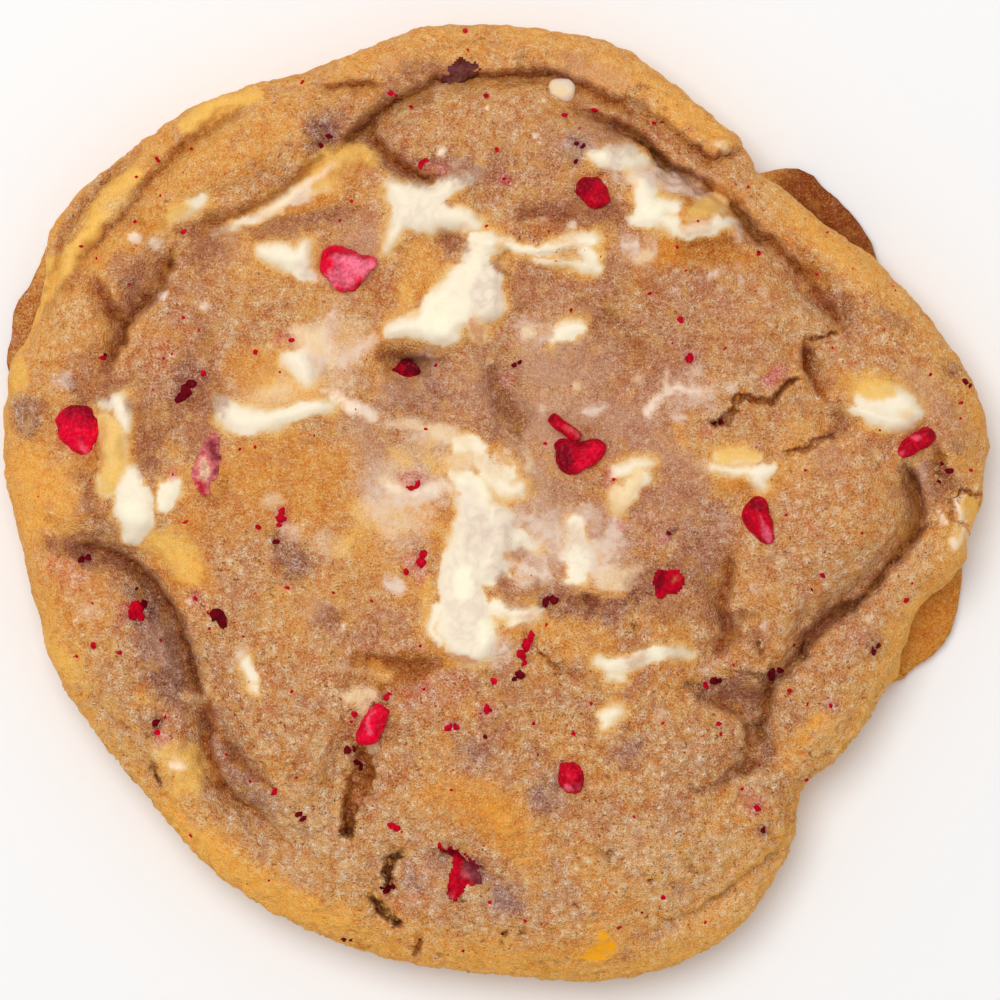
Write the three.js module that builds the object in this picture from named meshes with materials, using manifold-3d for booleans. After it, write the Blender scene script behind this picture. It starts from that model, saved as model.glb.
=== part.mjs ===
// A soft-baked white chocolate raspberry cookie, lying on its flat underside.
// One round of dough with a browned foot, a rolled rim and folds pressed into its top,
// melted pieces of white chocolate set into it, and lumps of freeze-dried raspberry.
// Millimetres, +Z up, origin at the middle of the underside.
import * as THREE from 'three';
import { mergeVertices } from 'three/addons/utils/BufferGeometryUtils.js';
import Module from 'manifold-3d';

// Driving dimensions.
const pointSpacing = 2.9; // between neighbouring points of the dough's surface
const gap = 0.3; // between the dough and whatever is set into it
const footThickness = 2.2; // the thin layer that spread and browned on the tray
const footInset = 1.0; // how far the foot stays under the rim where it doesn't show
const wallHeight = 7.0; // where the side bulges out farthest
const rimWidth = 6.5; // from the side to the top of the rolled rim
const rimTop = 12.6;
const rimEdges = [4.6, 2.6, 1.2, 0.35]; // how far inside the outline the rim's points lie
const middleTop = 14.2; // level of the uneven middle
const middleSpan = 16.0; // how far in from the side that level is reached
const chocolateDepth = 2.4; // how deep a melted piece sits in the dough
const chocolateRise = 0.5; // how far it stands above the dough
const chocolateEdge = 0.35; // rounding of its edges

// The side and the foot, from above: how far inside their outlines, and how high.
const creaseHeight = footThickness + 0.7;
const sideProfile = [
  [0, wallHeight - 0.8], [0.5, (wallHeight + creaseHeight) / 2], [footInset + 0.6, creaseHeight],
];
const footProfile = [[0.5, footThickness], [0, footThickness / 2], [0.6, 0]];
const undersideRings = [[0.66, 2], [0.3, 5]]; // share of the foot's radius, and fewer points

// Finishes.
const finishes = {
  dough: new THREE.MeshStandardMaterial({ color: 0xd09a62, roughness: 0.85, metalness: 0 }),
  chocolate: new THREE.MeshStandardMaterial({ color: 0xf6e6c8, roughness: 0.45, metalness: 0 }),
  raspberry: new THREE.MeshStandardMaterial({ color: 0xb8102c, roughness: 0.7, metalness: 0 }),
};

// The outline of the upper dough, an uneven round, clockwise from the upper left.
const doughOutline = [
  [-25.2, 45.7], [-16.5, 48.9], [-8.1, 52.1], [-1.3, 52.3], [6.3, 51.7], [12.7, 50.4],
  [17.7, 47.2], [23.4, 42.3], [26.9, 39.2], [27.6, 37.6], [32.2, 33.7], [38.3, 28.8],
  [44.3, 23.8], [49.2, 18.0], [52.5, 12.7], [54.1, 6.8], [53.3, 2.2], [53.4, -0.8],
  [51.7, -5.1], [46.1, -11.4], [43.3, -19.0], [38.5, -27.0], [32.9, -32.7], [32.6, -36.6],
  [28.9, -43.8], [24.8, -48.1], [18.0, -51.4], [10.6, -52.6], [1.3, -52.0], [-7.1, -51.0],
  [-15.5, -49.0], [-25.6, -44.3], [-32.4, -39.3], [-38.0, -32.6], [-44.1, -25.2],
  [-48.4, -18.4], [-50.4, -12.2], [-52.7, -2.2], [-54.1, 3.8], [-53.9, 11.4], [-52.9, 16.4],
  [-50.5, 18.3], [-50.6, 24.1], [-46.5, 33.1], [-40.8, 38.1], [-34.7, 42.3],
];

// Where the foot sticks out past the rim: middle and half span in degrees, and how far.
const footCrescents = [
  { middle: 157, half: 13, out: 1.9 },
  { middle: 42, half: 13, out: 3.3 },
  { middle: -15.5, half: 11, out: 4.3 },
];

// Valleys between the folds: a path through a few points, how deep, and how wide.
const folds = [
  { name: 'top', deep: 2.8, wide: 2.0,
    path: [[-18, 37.7], [-12.8, 43], [-6, 46.5], [1, 47], [8.3, 46.5], [14.3, 43.5], [18, 41]] },
  { name: 'top right', deep: 3.2, wide: 2.1,
    path: [[7.6, 43.6], [14, 41.2], [20.5, 36.4], [26, 32.8], [31.5, 27.6], [38.5, 18.5]] },
  { name: 'inner right', deep: 2.2, wide: 2.2, path: [[33.5, 18.7], [34.3, 14.5], [37.5, 8]] },
  { name: 'right', deep: 3.2, wide: 2.2,
    path: [[44.5, 5], [46.8, -1.5], [42.5, -8], [36.5, -13], [30.5, -20], [29.5, -27.5]] },
  { name: 'lower right', deep: 1.8, wide: 3.0, path: [[21.5, -21], [28, -22]] },
  { name: 'middle right', deep: 1.6, wide: 1.8,
    path: [[25.2, -4], [25, -11], [25.8, -14.5], [22.5, -17.5]] },
  { name: 'lower left', deep: 2.8, wide: 2.2,
    path: [[-46, -4.5], [-40.5, -6], [-36, -11], [-33, -19], [-30.8, -27], [-24.8, -35.7],
      [-21.3, -39]] },
  { name: 'upper left', deep: 2.4, wide: 2.2,
    path: [[-18, 37.7], [-23.5, 33.5], [-31, 31], [-35.5, 28.5], [-39, 21.5], [-43.3, 13.3]] },
  { name: 'upper left rim', deep: 1.7, wide: 1.8,
    path: [[-27, 43.8], [-36.5, 36.8], [-43.5, 29], [-47, 24]] },
  { name: 'middle', deep: 2.0, wide: 1.9, path: [[-0.5, 16], [1, 11], [2.5, 7]] },
  { name: 'under the middle pool', deep: 1.8, wide: 2.2, path: [[-11.5, 15.4], [-6.5, 15.2]] },
  { name: 'bottom left', deep: 2.0, wide: 1.9, path: [[-16, -26.5], [-17, -33], [-15.5, -36.8]] },
  { name: 'bottom', deep: 1.4, wide: 1.6, path: [[-11, -38.5], [-12, -44.5], [-8.5, -48.3]] },
];

// Swells of the dough between the valleys, and a few hollows: place, reach, and height.
const swells = [
  { at: [38, -3], reach: 8, high: 0.9 },
  { at: [0, 41.5], reach: 9, high: 0.7 },
  { at: [-27, 38], reach: 7, high: 0.8 },
  { at: [0, -30], reach: 20, high: 1.0 },
  { at: [12, -14.5], reach: 6, high: 1.2 },
  { at: [-47.5, 0], reach: 7, high: 0.6 },
  { at: [5, 30], reach: 4.5, high: 1.3 },
  { at: [-24, 4], reach: 9, high: 0.9 },
  { at: [26, 14], reach: 8, high: 0.7 },
  { at: [24, -46.5], reach: 6, high: -2.2 },
  { at: [14, 14], reach: 7, high: -1.0 },
  { at: [-20, -12], reach: 9, high: -0.6 },
];

// Melted pieces of white chocolate: the name of each and its outline.
const chocolatePieces = {
  upper_right: [[14.6, 35.2], [16.5, 35.8], [19, 35.8], [21, 34.4], [20.4, 32], [24, 31.3],
    [25.4, 30.4], [22, 29.2], [19, 30], [14.5, 30.5], [15.2, 33]],
  top_right: [[10.3, 38.2], [14, 39.2], [16.6, 38], [16.2, 37], [13.2, 36.8], [11, 37]],
  upper_left: [[-12.2, 34.2], [-10.8, 35.6], [-8, 34.5], [-3.5, 35.8], [-2.9, 33], [-1.7, 30.6],
    [-5.5, 30.4], [-9, 29.2], [-12.2, 27.2], [-11.5, 29.5], [-10.8, 32]],
  middle: [[-2.5, 28.9], [0.9, 28.9], [0, 27.3], [0.8, 25], [2.8, 22], [0, 20.5], [-4.5, 18],
    [-11.5, 18], [-13, 18], [-10, 20.5], [-7.5, 23], [-5.8, 26.3]],
  ribbon: [[2.6, 27.5], [5, 27.9], [9, 28.6], [11.8, 29.3], [12.4, 28.4], [12, 26], [10.5, 25.2],
    [9.5, 26.2], [5, 26.4], [2.6, 26.2]],
  left_upper: [[-42.6, 9.5], [-42.4, 11.6], [-41, 12], [-40.2, 10], [-40.2, 7], [-41.2, 5],
    [-42.6, 4.6]],
  left_lower: [[-40.6, 3.6], [-39.2, 4.2], [-38.2, 3], [-37.5, 0], [-37, -1.5], [-39, -3.5],
    [-41, -4.5], [-41.8, -1], [-41.6, 2]],
  inner_left: [[-31, 12], [-30.5, 10.2], [-29, 8.5], [-27.5, 7.3], [-25.5, 7.8], [-22, 9.1],
    [-18.5, 10.3], [-18, 11.6], [-22, 11], [-24.5, 9.9], [-26.5, 10.2], [-28.5, 11.4]],
  inner_left_block: [[-23.5, 16.5], [-21, 17], [-19, 15], [-20, 13.5], [-22.5, 13.8]],
  left_of_middle: [[-26.3, 27.3], [-25.3, 28.6], [-23, 28.3], [-21, 28.8], [-20.5, 27],
    [-20.7, 25.2], [-22.5, 25], [-24, 26]],
  centre: [[-4.8, 3.2], [-2.2, 2.6], [-0.8, 0.4], [1.3, -0.2], [1.5, -3], [0, -7.5], [1, -11],
    [4.5, -11.9], [2, -13.2], [1.8, -16], [-1, -17.3], [-4.5, -16.7], [-7.6, -15], [-6, -10],
    [-6.6, -6.5], [-5, -3.2], [-4.5, 0]],
  sheet: [[-1.2, 4.6], [-0.8, 6.2], [1.5, 5.8], [4, 4], [4, 2], [3, 1.4], [1.6, 3]],
  right: [[13, 3.5], [14.5, 4.2], [16, 4.8], [17.2, 4.4], [17.2, 3.4], [16, 1], [14.5, -1], [13.2, 0.5]],
  right_fold: [[23.5, 4.5], [26, 4.2], [30, 4.6], [30.5, 3.2], [28, 2.2], [25, 3]],
  rim_right: [[38.8, 10], [40.5, 10.8], [41.3, 12.5], [43.5, 12.8], [45.5, 11.5], [46.2, 10],
    [44.5, 8.8], [43, 8.6], [41, 9.2]],
};

// Small round chips of white chocolate: place and radius.
const chips = {
  rim: { at: [7.3, 45.4], radius: 1.4 },
  left: { at: [-35.8, 1.4], radius: 1.3 },
  middle: { at: [8, 19], radius: 1.5 },
};

// Lumps of raspberry: place, half length, half width, half height, the turn of the length
// from +X in degrees, and how far the lump's middle lies above the dough.
const raspberries = [
  { at: [-16.3, 25.8], half: [3.2, 2.3, 1.7], turn: -25, lift: 0.5 },
  { at: [10.6, 34], half: [2.0, 1.8, 1.6], turn: 20, lift: 0.7 },
  { at: [-46, 8.1], half: [2.8, 2.2, 1.8], turn: 105, lift: 0.5 },
  { at: [-9.8, 14.6], half: [1.6, 1.2, 1.2], turn: 10, lift: 0.7 },
  { at: [7.0, 8.7], half: [1.8, 0.7, 0.8], turn: -32, lift: 0.6 },
  { at: [9.2, 4.8], half: [2.7, 1.6, 1.4], turn: 5, lift: 0.5 },
  { at: [46.2, 6.8], half: [2.6, 1.2, 1.3], turn: 35, lift: 0.6 },
  { at: [28.5, -1.9], half: [2.6, 1.6, 1.4], turn: -75, lift: 0.5 },
  { at: [-13.8, -24.2], half: [2.6, 1.3, 1.4], turn: 57, lift: 0.6 },
  { at: [8.2, -29.9], half: [1.8, 1.5, 1.3], turn: 80, lift: 0.5 },
  { at: [-3.8, 47.3], half: [1.9, 1.3, 1.2], turn: 0, lift: 0.4 },
  { at: [-4, -40.5], half: [3.0, 1.8, 1.3], turn: 100, lift: 0.0 },
  { at: [18.8, -8.7], half: [1.6, 1.3, 1.1], turn: 15, lift: 0.2 },
  { at: [-31.5, 4.3], half: [2.9, 1.1, 1.2], turn: 85, lift: 0.3 },
];

// A smooth closed line through a few points, as evenly spaced points.
function closedLine(corners, count) {
  const points = corners.map(([x, y]) => new THREE.Vector3(x, y, 0));
  const curve = new THREE.CatmullRomCurve3(points, true, 'centripetal');
  return curve.getSpacedPoints(count).slice(0, count);
}

// The outline as a radius for each direction from the middle.
const outlineSamples = closedLine(doughOutline, 720)
  .map((point) => ({ angle: Math.atan2(point.y, point.x), radius: Math.hypot(point.x, point.y) }))
  .sort((a, b) => a.angle - b.angle);

function doughRadius(angle) {
  const turned = Math.atan2(Math.sin(angle), Math.cos(angle));
  const last = outlineSamples.length - 1;
  const above = outlineSamples.findIndex((sample) => sample.angle >= turned);
  if (above <= 0) {
    return (outlineSamples[0].radius + outlineSamples[last].radius) / 2;
  }
  const low = outlineSamples[above - 1];
  const high = outlineSamples[above];
  return THREE.MathUtils.mapLinear(turned, low.angle, high.angle, low.radius, high.radius);
}

function footRadius(angle) {
  let radius = doughRadius(angle) - footInset;
  for (const { middle, half, out } of footCrescents) {
    const away = THREE.MathUtils.radToDeg(angle) - middle;
    const share = Math.abs(((away + 540) % 360) - 180) / half;
    if (share < 1) {
      radius += (out + footInset) * Math.cos((share * Math.PI) / 2) ** 2;
    }
  }
  return radius;
}

// How far a point lies from a path of straight runs between close points.
const foldLines = folds.map(({ path, deep, wide }) => {
  const corners = path.map(([x, y]) => new THREE.Vector3(x, y, 0));
  const curve = new THREE.CatmullRomCurve3(corners, false, 'centripetal');
  return { points: curve.getSpacedPoints(path.length * 8), deep, wide };
});

function foldDepth(x, y) {
  let depth = 0;
  for (const { points, deep, wide } of foldLines) {
    const nearest = Math.min(...points.map((point) => Math.hypot(point.x - x, point.y - y)));
    depth = Math.max(depth, deep * Math.exp(-((nearest / wide) ** 2)));
  }
  return depth;
}

// The height of the dough's top: a rolled rim, an uneven middle, swells, and the folds.
function doughTop(x, y) {
  const inward = Math.max(doughRadius(Math.atan2(y, x)) - Math.hypot(x, y), 0);
  const across = Math.min(inward / rimWidth, 1);
  const rim = wallHeight + (rimTop - wallHeight) * Math.sqrt(1 - (1 - across) ** 2);
  const rise = (middleTop - rimTop) * THREE.MathUtils.smoothstep(inward, rimWidth / 2, middleSpan);
  const waves = 0.3 * across * (Math.sin(x * 0.31 + y * 0.12) + Math.sin(y * 0.37 - x * 0.17 + 1));
  let swell = 0;
  for (const { at, reach, high } of swells) {
    swell += high * Math.exp(-(((x - at[0]) ** 2 + (y - at[1]) ** 2) / reach ** 2));
  }
  return rim + rise + waves + across * (swell - foldDepth(x, y));
}

// A closed skin from rings of points: neighbours may have different counts.
function skin(rings) {
  const positions = [];
  const faces = [];
  let previous = null;
  let used = 0;
  for (const ring of rings) {
    for (const [x, y, z] of ring) {
      positions.push(x, y, z);
    }
    const current = { first: used, count: ring.length };
    used += ring.length;
    if (previous) {
      stitch(faces, previous, current);
    }
    previous = current;
  }
  const geometry = new THREE.BufferGeometry();
  geometry.setAttribute('position', new THREE.Float32BufferAttribute(positions, 3));
  geometry.setIndex(faces);
  return geometry;
}

function stitch(faces, inner, outer) {
  let i = 0;
  let j = 0;
  while (i < inner.count || j < outer.count) {
    const here = inner.first + (i % inner.count);
    const there = outer.first + (j % outer.count);
    const outerNext = j < outer.count
      && (i >= inner.count || (j + 1) * inner.count <= (i + 1) * outer.count);
    if (outerNext) {
      faces.push(here, there, outer.first + ((j + 1) % outer.count));
      j += 1;
    } else {
      if (inner.count > 1) {
        faces.push(here, there, inner.first + ((i + 1) % inner.count));
      }
      i += 1;
    }
  }
}

// One ring of the dough, count points all round, each placed by its direction.
function ring(count, place) {
  return Array.from({ length: count }, (_, index) => {
    const angle = (index / count) * 2 * Math.PI;
    const [radius, height] = place(angle);
    const x = radius * Math.cos(angle);
    const y = radius * Math.sin(angle);
    return [x, y, height ?? doughTop(x, y)];
  });
}

function doughGeometry() {
  const radii = outlineSamples.reduce((sum, sample) => sum + sample.radius, 0);
  const meanRadius = radii / outlineSamples.length;
  const around = Math.round((2 * Math.PI * meanRadius) / pointSpacing);
  const innerRings = Math.round((meanRadius - rimEdges[0]) / pointSpacing);
  const rings = [[[0, 0, doughTop(0, 0)]]];
  for (let k = 1; k < innerRings; k += 1) {
    const share = k / innerRings;
    const count = Math.max(Math.round(around * share), 6);
    rings.push(ring(count, (angle) => [(doughRadius(angle) - rimEdges[0]) * share]));
  }
  for (const edge of rimEdges) {
    rings.push(ring(around, (angle) => [doughRadius(angle) - edge]));
  }
  for (const [inset, height] of sideProfile) {
    rings.push(ring(around, (angle) => [doughRadius(angle) - inset, height]));
  }
  for (const [inset, height] of footProfile) {
    rings.push(ring(around, (angle) => [footRadius(angle) - inset, height]));
  }
  for (const [span, fewer] of undersideRings) {
    rings.push(ring(Math.round(around / fewer), (angle) => [footRadius(angle) * span, 0]));
  }
  rings.push([[0, 0, 0]]);
  return skin(rings);
}

// A closed line moved outward by some amount.
function grown(points, amount) {
  return points.map((point, index) => {
    const before = points[(index + points.length - 1) % points.length];
    const after = points[(index + 1) % points.length];
    const along = new THREE.Vector2(after.x - before.x, after.y - before.y).normalize();
    return new THREE.Vector2(point.x + along.y * amount, point.y - along.x * amount);
  });
}

// A slab on an outline: a flat floor under the dough and a top that follows it.
function slabGeometry(outline, floor, rise, edge) {
  const bevel = edge > 0;
  const geometry = new THREE.ExtrudeGeometry(new THREE.Shape(outline), {
    depth: 1,
    steps: 1,
    bevelEnabled: bevel,
    bevelThickness: edge,
    bevelSize: edge,
    bevelOffset: -edge,
    bevelSegments: 1,
  });
  const position = geometry.attributes.position;
  for (let index = 0; index < position.count; index += 1) {
    const z = position.getZ(index);
    const top = doughTop(position.getX(index), position.getY(index)) + rise;
    position.setZ(index, z < 0.5 ? floor + z + edge : top + z - 1 - edge);
  }
  return geometry;
}

function chocolateOutline(corners) {
  const points = closedLine(corners, corners.length + 2);
  const flat = points.map((point) => new THREE.Vector2(point.x, point.y));
  return THREE.ShapeUtils.isClockWise(flat) ? flat.reverse() : flat;
}

function chocolateSolids(corners) {
  const outline = chocolateOutline(corners);
  const floor = Math.min(...outline.map((point) => doughTop(point.x, point.y))) - chocolateDepth;
  const clearance = 6;
  return {
    piece: slabGeometry(outline, floor, chocolateRise, chocolateEdge),
    pocket: slabGeometry(grown(outline, gap), floor - gap, clearance, 0),
  };
}

// A lump of small round drupelets: a ball swollen at points spread by the golden angle.
const drupeletDirections = Array.from({ length: 14 }, (_, index) => {
  const z = 1 - (2 * index + 1) / 14;
  const angle = index * 2.39996;
  const across = Math.sqrt(1 - z * z);
  return new THREE.Vector3(across * Math.cos(angle), across * Math.sin(angle), z);
});

function placedLump(geometry, { half, turn, at, lift }) {
  geometry.scale(...half);
  geometry.rotateZ(THREE.MathUtils.degToRad(turn));
  return geometry.translate(at[0], at[1], doughTop(at[0], at[1]) + lift);
}

function lumpGeometry(lump) {
  const geometry = new THREE.IcosahedronGeometry(1, lump.half[0] > 2.5 ? 2 : 1);
  const position = geometry.attributes.position;
  const point = new THREE.Vector3();
  for (let index = 0; index < position.count; index += 1) {
    point.fromBufferAttribute(position, index);
    const nearest = Math.max(...drupeletDirections.map((direction) => direction.dot(point)));
    point.multiplyScalar(0.88 + 0.12 * THREE.MathUtils.smoothstep(nearest, 0.8, 1));
    position.setXYZ(index, point.x, point.y, point.z);
  }
  return placedLump(geometry, lump);
}

// The hollow round a lump: a plainer ball, larger by the gap and by what its flat faces lose.
function lumpPocket(lump) {
  const half = lump.half.map((length) => length * 1.07 + gap);
  return placedLump(new THREE.IcosahedronGeometry(1, 1), { ...lump, half });
}

function chipGeometry({ at, radius }, extra) {
  const lift = 0.3 * radius;
  const geometry = new THREE.IcosahedronGeometry(radius + extra, 1);
  return geometry.translate(at[0], at[1], doughTop(at[0], at[1]) + lift);
}

// Solids for the cuts: one shared point at each corner.
const wasm = await Module();
wasm.setup();

function solidOf(geometry) {
  const bare = geometry.clone();
  bare.deleteAttribute('normal');
  bare.deleteAttribute('uv');
  const merged = mergeVertices(bare, 1e-4);
  const vertProperties = new Float32Array(merged.attributes.position.array);
  const triVerts = new Uint32Array(merged.index.array);
  return new wasm.Manifold(new wasm.Mesh({ numProp: 3, vertProperties, triVerts }));
}

function geometryOf(solid) {
  const { vertProperties, triVerts } = solid.getMesh();
  const geometry = new THREE.BufferGeometry();
  geometry.setAttribute('position', new THREE.BufferAttribute(vertProperties, 3));
  geometry.setIndex(new THREE.BufferAttribute(triVerts, 1));
  return geometry;
}

// The cookie, put together: every set-in piece has its pocket cut out of the dough.
const cookie = new THREE.Group();
let dough = solidOf(doughGeometry());

function setIn(name, material, piece, pocket) {
  dough = dough.subtract(solidOf(pocket));
  const mesh = new THREE.Mesh(geometryOf(solidOf(piece)), material);
  mesh.name = name;
  cookie.add(mesh);
}

for (const [place, corners] of Object.entries(chocolatePieces)) {
  const { piece, pocket } = chocolateSolids(corners);
  setIn(`white_chocolate_${place}`, finishes.chocolate, piece, pocket);
}
for (const [place, chip] of Object.entries(chips)) {
  setIn(`white_chip_${place}`, finishes.chocolate, chipGeometry(chip, 0), chipGeometry(chip, gap));
}
raspberries.forEach((lump, index) => {
  const number = String(index + 1).padStart(2, '0');
  setIn(`raspberry_${number}`, finishes.raspberry, lumpGeometry(lump), lumpPocket(lump));
});

const doughMesh = new THREE.Mesh(geometryOf(dough), finishes.dough);
doughMesh.name = 'dough';
cookie.add(doughMesh);

// The middle of the underside becomes the origin.
const box = new THREE.Box3().setFromObject(cookie);
const centre = box.getCenter(new THREE.Vector3());
for (const mesh of cookie.children) {
  mesh.position.set(-centre.x, -centre.y, -box.min.z);
}

export default cookie;
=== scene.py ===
import math
import random

import bmesh
import bpy
import numpy as np
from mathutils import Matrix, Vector, noise
from mathutils.bvhtree import BVHTree


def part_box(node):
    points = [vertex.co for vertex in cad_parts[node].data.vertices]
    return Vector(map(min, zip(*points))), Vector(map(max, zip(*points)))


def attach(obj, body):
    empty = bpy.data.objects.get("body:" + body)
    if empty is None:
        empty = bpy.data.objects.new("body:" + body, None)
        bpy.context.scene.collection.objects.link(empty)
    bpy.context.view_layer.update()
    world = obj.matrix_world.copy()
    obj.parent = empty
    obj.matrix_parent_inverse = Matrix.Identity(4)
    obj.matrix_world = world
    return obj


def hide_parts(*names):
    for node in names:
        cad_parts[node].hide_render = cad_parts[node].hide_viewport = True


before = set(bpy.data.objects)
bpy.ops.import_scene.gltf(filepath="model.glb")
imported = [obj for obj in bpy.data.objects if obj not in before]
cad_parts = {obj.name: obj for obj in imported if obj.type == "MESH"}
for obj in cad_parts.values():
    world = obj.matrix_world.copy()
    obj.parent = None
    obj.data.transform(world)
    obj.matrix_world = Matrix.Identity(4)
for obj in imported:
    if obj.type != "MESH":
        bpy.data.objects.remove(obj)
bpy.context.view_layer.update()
MM = 0.001

# ---- Camera, table and light -------------------------------------------------------------
# A camera straight above, with the cookie a little left of and below the middle of its view,
# a plain pale table under it, and one broad soft lamp at the upper left in a bright room.
camera_data = bpy.data.cameras.new("camera")
camera_data.sensor_width = 36.0
camera_height = 700 * MM
seen_width = 110 * MM
seen_level = 10 * MM
camera_data.lens = camera_data.sensor_width * (camera_height - seen_level) / seen_width
camera = bpy.data.objects.new("camera", camera_data)
camera.location = (0.44 * MM, 0.33 * MM, camera_height)
bpy.context.scene.collection.objects.link(camera)
bpy.context.scene.camera = camera
bpy.context.scene.view_settings.view_transform = "Standard"

bpy.ops.object.select_all(action="DESELECT")
bpy.ops.mesh.primitive_plane_add(size=4.0, location=(0, 0, -0.05 * MM))
table = bpy.context.active_object
table.name = "table"
table_finish = bpy.data.materials.new("pale_table")
table_finish.use_nodes = True
table_shader = table_finish.node_tree.nodes["Principled BSDF"]
table_shader.inputs["Base Color"].default_value = (0.93, 0.93, 0.93, 1)
table_shader.inputs["Roughness"].default_value = 0.9
table.data.materials.append(table_finish)

room = bpy.data.worlds.new("room")
room.use_nodes = True
room.node_tree.nodes["Background"].inputs["Color"].default_value = (1.0, 0.99, 0.98, 1)
room.node_tree.nodes["Background"].inputs["Strength"].default_value = 0.56
bpy.context.scene.world = room

lamp_data = bpy.data.lights.new("broad_lamp", "AREA")
lamp_data.shape = "DISK"
lamp_data.size = 0.55
lamp_data.energy = 4.5
lamp = bpy.data.objects.new("broad_lamp", lamp_data)
lamp.location = (-0.16, 0.21, 0.88)
lamp.rotation_euler = Vector(lamp.location).to_track_quat("Z", "Y").to_euler()
bpy.context.scene.collection.objects.link(lamp)

# ---- Dough: the baked shape --------------------------------------------------------------
# One round of soft dough that spread on the tray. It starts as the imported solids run
# together and evened out, and then the folds, lips, cracks and crumb are pressed into it.
# Sizes and places in this section are in millimetres.
grain_size = 0.4  # between neighbouring points of the fine surface
lifted = 0.45  # how far the dough stands up round what is set into it
below_crust = 0.2  # lumps are cut off this far under it, because their own pieces come later
overhead = 40  # a height well above the cookie, from which rays are dropped on it
straight_down = Vector((0, 0, -1))


def finish_modifier(kind, **settings):
    modifier = bpy.context.active_object.modifiers.new(kind.lower(), kind)
    for name, value in settings.items():
        setattr(modifier, name, value)
    bpy.ops.object.modifier_apply(modifier=modifier.name)


def level_around(name):
    """The dough's height round a thing that is set into it: the second lowest of four sides,
    so that a neighbour that stands high beside it doesn't count."""
    low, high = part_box(name)
    middle = (low + high) / 2
    beside = 0.9 * MM
    spots = [(low.x - beside, middle.y), (high.x + beside, middle.y),
             (middle.x, low.y - beside), (middle.x, high.y + beside)]
    drops = [packed_dough.ray_cast(Vector((*spot, overhead * MM)), straight_down)[0] for spot in spots]
    return sorted(drop.z for drop in drops if drop)[1]


packed_dough = BVHTree.FromObject(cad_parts["dough"], bpy.context.evaluated_depsgraph_get())
bpy.ops.object.select_all(action="DESELECT")
for name, cad_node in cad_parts.items():
    part = bpy.data.objects.new("part", cad_node.data.copy())
    bpy.context.scene.collection.objects.link(part)
    shape = bmesh.new()
    shape.from_mesh(part.data)
    bmesh.ops.remove_doubles(shape, verts=shape.verts, dist=0.001 * MM)
    if name != "dough":
        shape.normal_update()
        for vertex in shape.verts:
            vertex.co += vertex.normal * lifted * MM
    if name.startswith(("raspberry", "white_chip")):
        flush = level_around(name) - below_crust * MM
        for vertex in shape.verts:
            vertex.co.z = min(vertex.co.z, flush)
    shape.to_mesh(part.data)
    shape.free()
    part.select_set(True)
    bpy.context.view_layer.objects.active = part
bpy.ops.object.join()
dough = bpy.context.active_object
dough.name = "baked_dough"
finish_modifier("REMESH", mode="VOXEL", voxel_size=grain_size * MM)
finish_modifier("SMOOTH", factor=0.5, iterations=30)


def points_of(piece):
    co = np.empty(len(piece.data.vertices) * 3)
    piece.data.vertices.foreach_get("co", co)
    return co.reshape(-1, 3) / MM


def set_points(piece, co):
    piece.data.vertices.foreach_set("co", (co * MM).ravel())
    piece.data.update()


def normals_of(piece):
    normal = np.empty(len(piece.data.vertices) * 3, dtype=np.float32)
    piece.data.vertices.foreach_get("normal", normal)
    return normal.reshape(-1, 3)


def edges_of(piece):
    ends = np.empty(len(piece.data.edges) * 2, dtype=np.int32)
    piece.data.edges.foreach_get("vertices", ends)
    return ends.reshape(-1, 2)


def evened(values, ends, rounds):
    """Each value drawn towards its neighbours' mean, some rounds over."""
    values = values.copy()
    count = np.bincount(ends.ravel(), minlength=len(values)).astype(float)
    for _ in range(rounds):
        total = np.bincount(ends[:, 0], values[ends[:, 1]], len(values))
        total += np.bincount(ends[:, 1], values[ends[:, 0]], len(values))
        values = 0.4 * values + 0.6 * total / count
    return values


def smooth_step(low, high, value):
    share = np.clip((value - low) / (high - low), 0, 1)
    return share * share * (3 - 2 * share)


def curved(knots, steps=5):
    """A smooth line through given knots, each with its own width or depth."""
    knots = np.asarray(knots, float)
    ends = np.vstack([2 * knots[0] - knots[1], knots, 2 * knots[-1] - knots[-2]])
    line = []
    for k in range(1, len(ends) - 2):
        a, b, c, d = ends[k - 1], ends[k], ends[k + 1], ends[k + 2]
        for share in np.arange(steps) / steps:
            line.append(0.5 * (2 * b + (c - a) * share + (2 * a - 5 * b + 4 * c - d) * share**2
                               + (3 * b - a - 3 * c + d) * share**3))
    line.append(knots[-1])
    return np.array(line)


dot_length = 0.001  # one knot by itself is drawn as a line too short to see


def measured(co, knots, margin=7.0):
    """For each point near a drawn line: its distance, its side (left +1), how far along it
    lies in millimetres from the nearer end, and the line's third value there."""
    line = curved(knots) if len(knots) > 2 else np.array(knots, float)
    if len(line) == 1:
        line = np.vstack([line, line])
        line[1, 0] += dot_length
    low = line[:, :2].min(0) - margin
    high = line[:, :2].max(0) + margin
    near = np.flatnonzero(((co[:, :2] > low) & (co[:, :2] < high)).all(1))
    flat = co[near, :2]
    best = np.full(len(near), 1e9)
    side = np.zeros(len(near))
    value = np.zeros(len(near))
    travelled = np.zeros(len(near))
    start = 0.0
    for a, b in zip(line[:-1], line[1:]):
        run = b[:2] - a[:2]
        length = math.hypot(*run)
        if length < 1e-6:
            continue
        share = np.clip((flat - a[:2]) @ run / length**2, 0, 1)
        away = flat - a[:2] - share[:, None] * run
        distance = np.hypot(away[:, 0], away[:, 1])
        nearer = distance < best
        best[nearer] = distance[nearer]
        side[nearer] = np.sign(run[0] * away[:, 1] - run[1] * away[:, 0])[nearer]
        travelled[nearer] = (start + share * length)[nearer]
        if line.shape[1] > 2:
            value[nearer] = (a[2] + share * (b[2] - a[2]))[nearer]
        start += length
    return near, best, side, np.minimum(travelled, start - travelled), value


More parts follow.
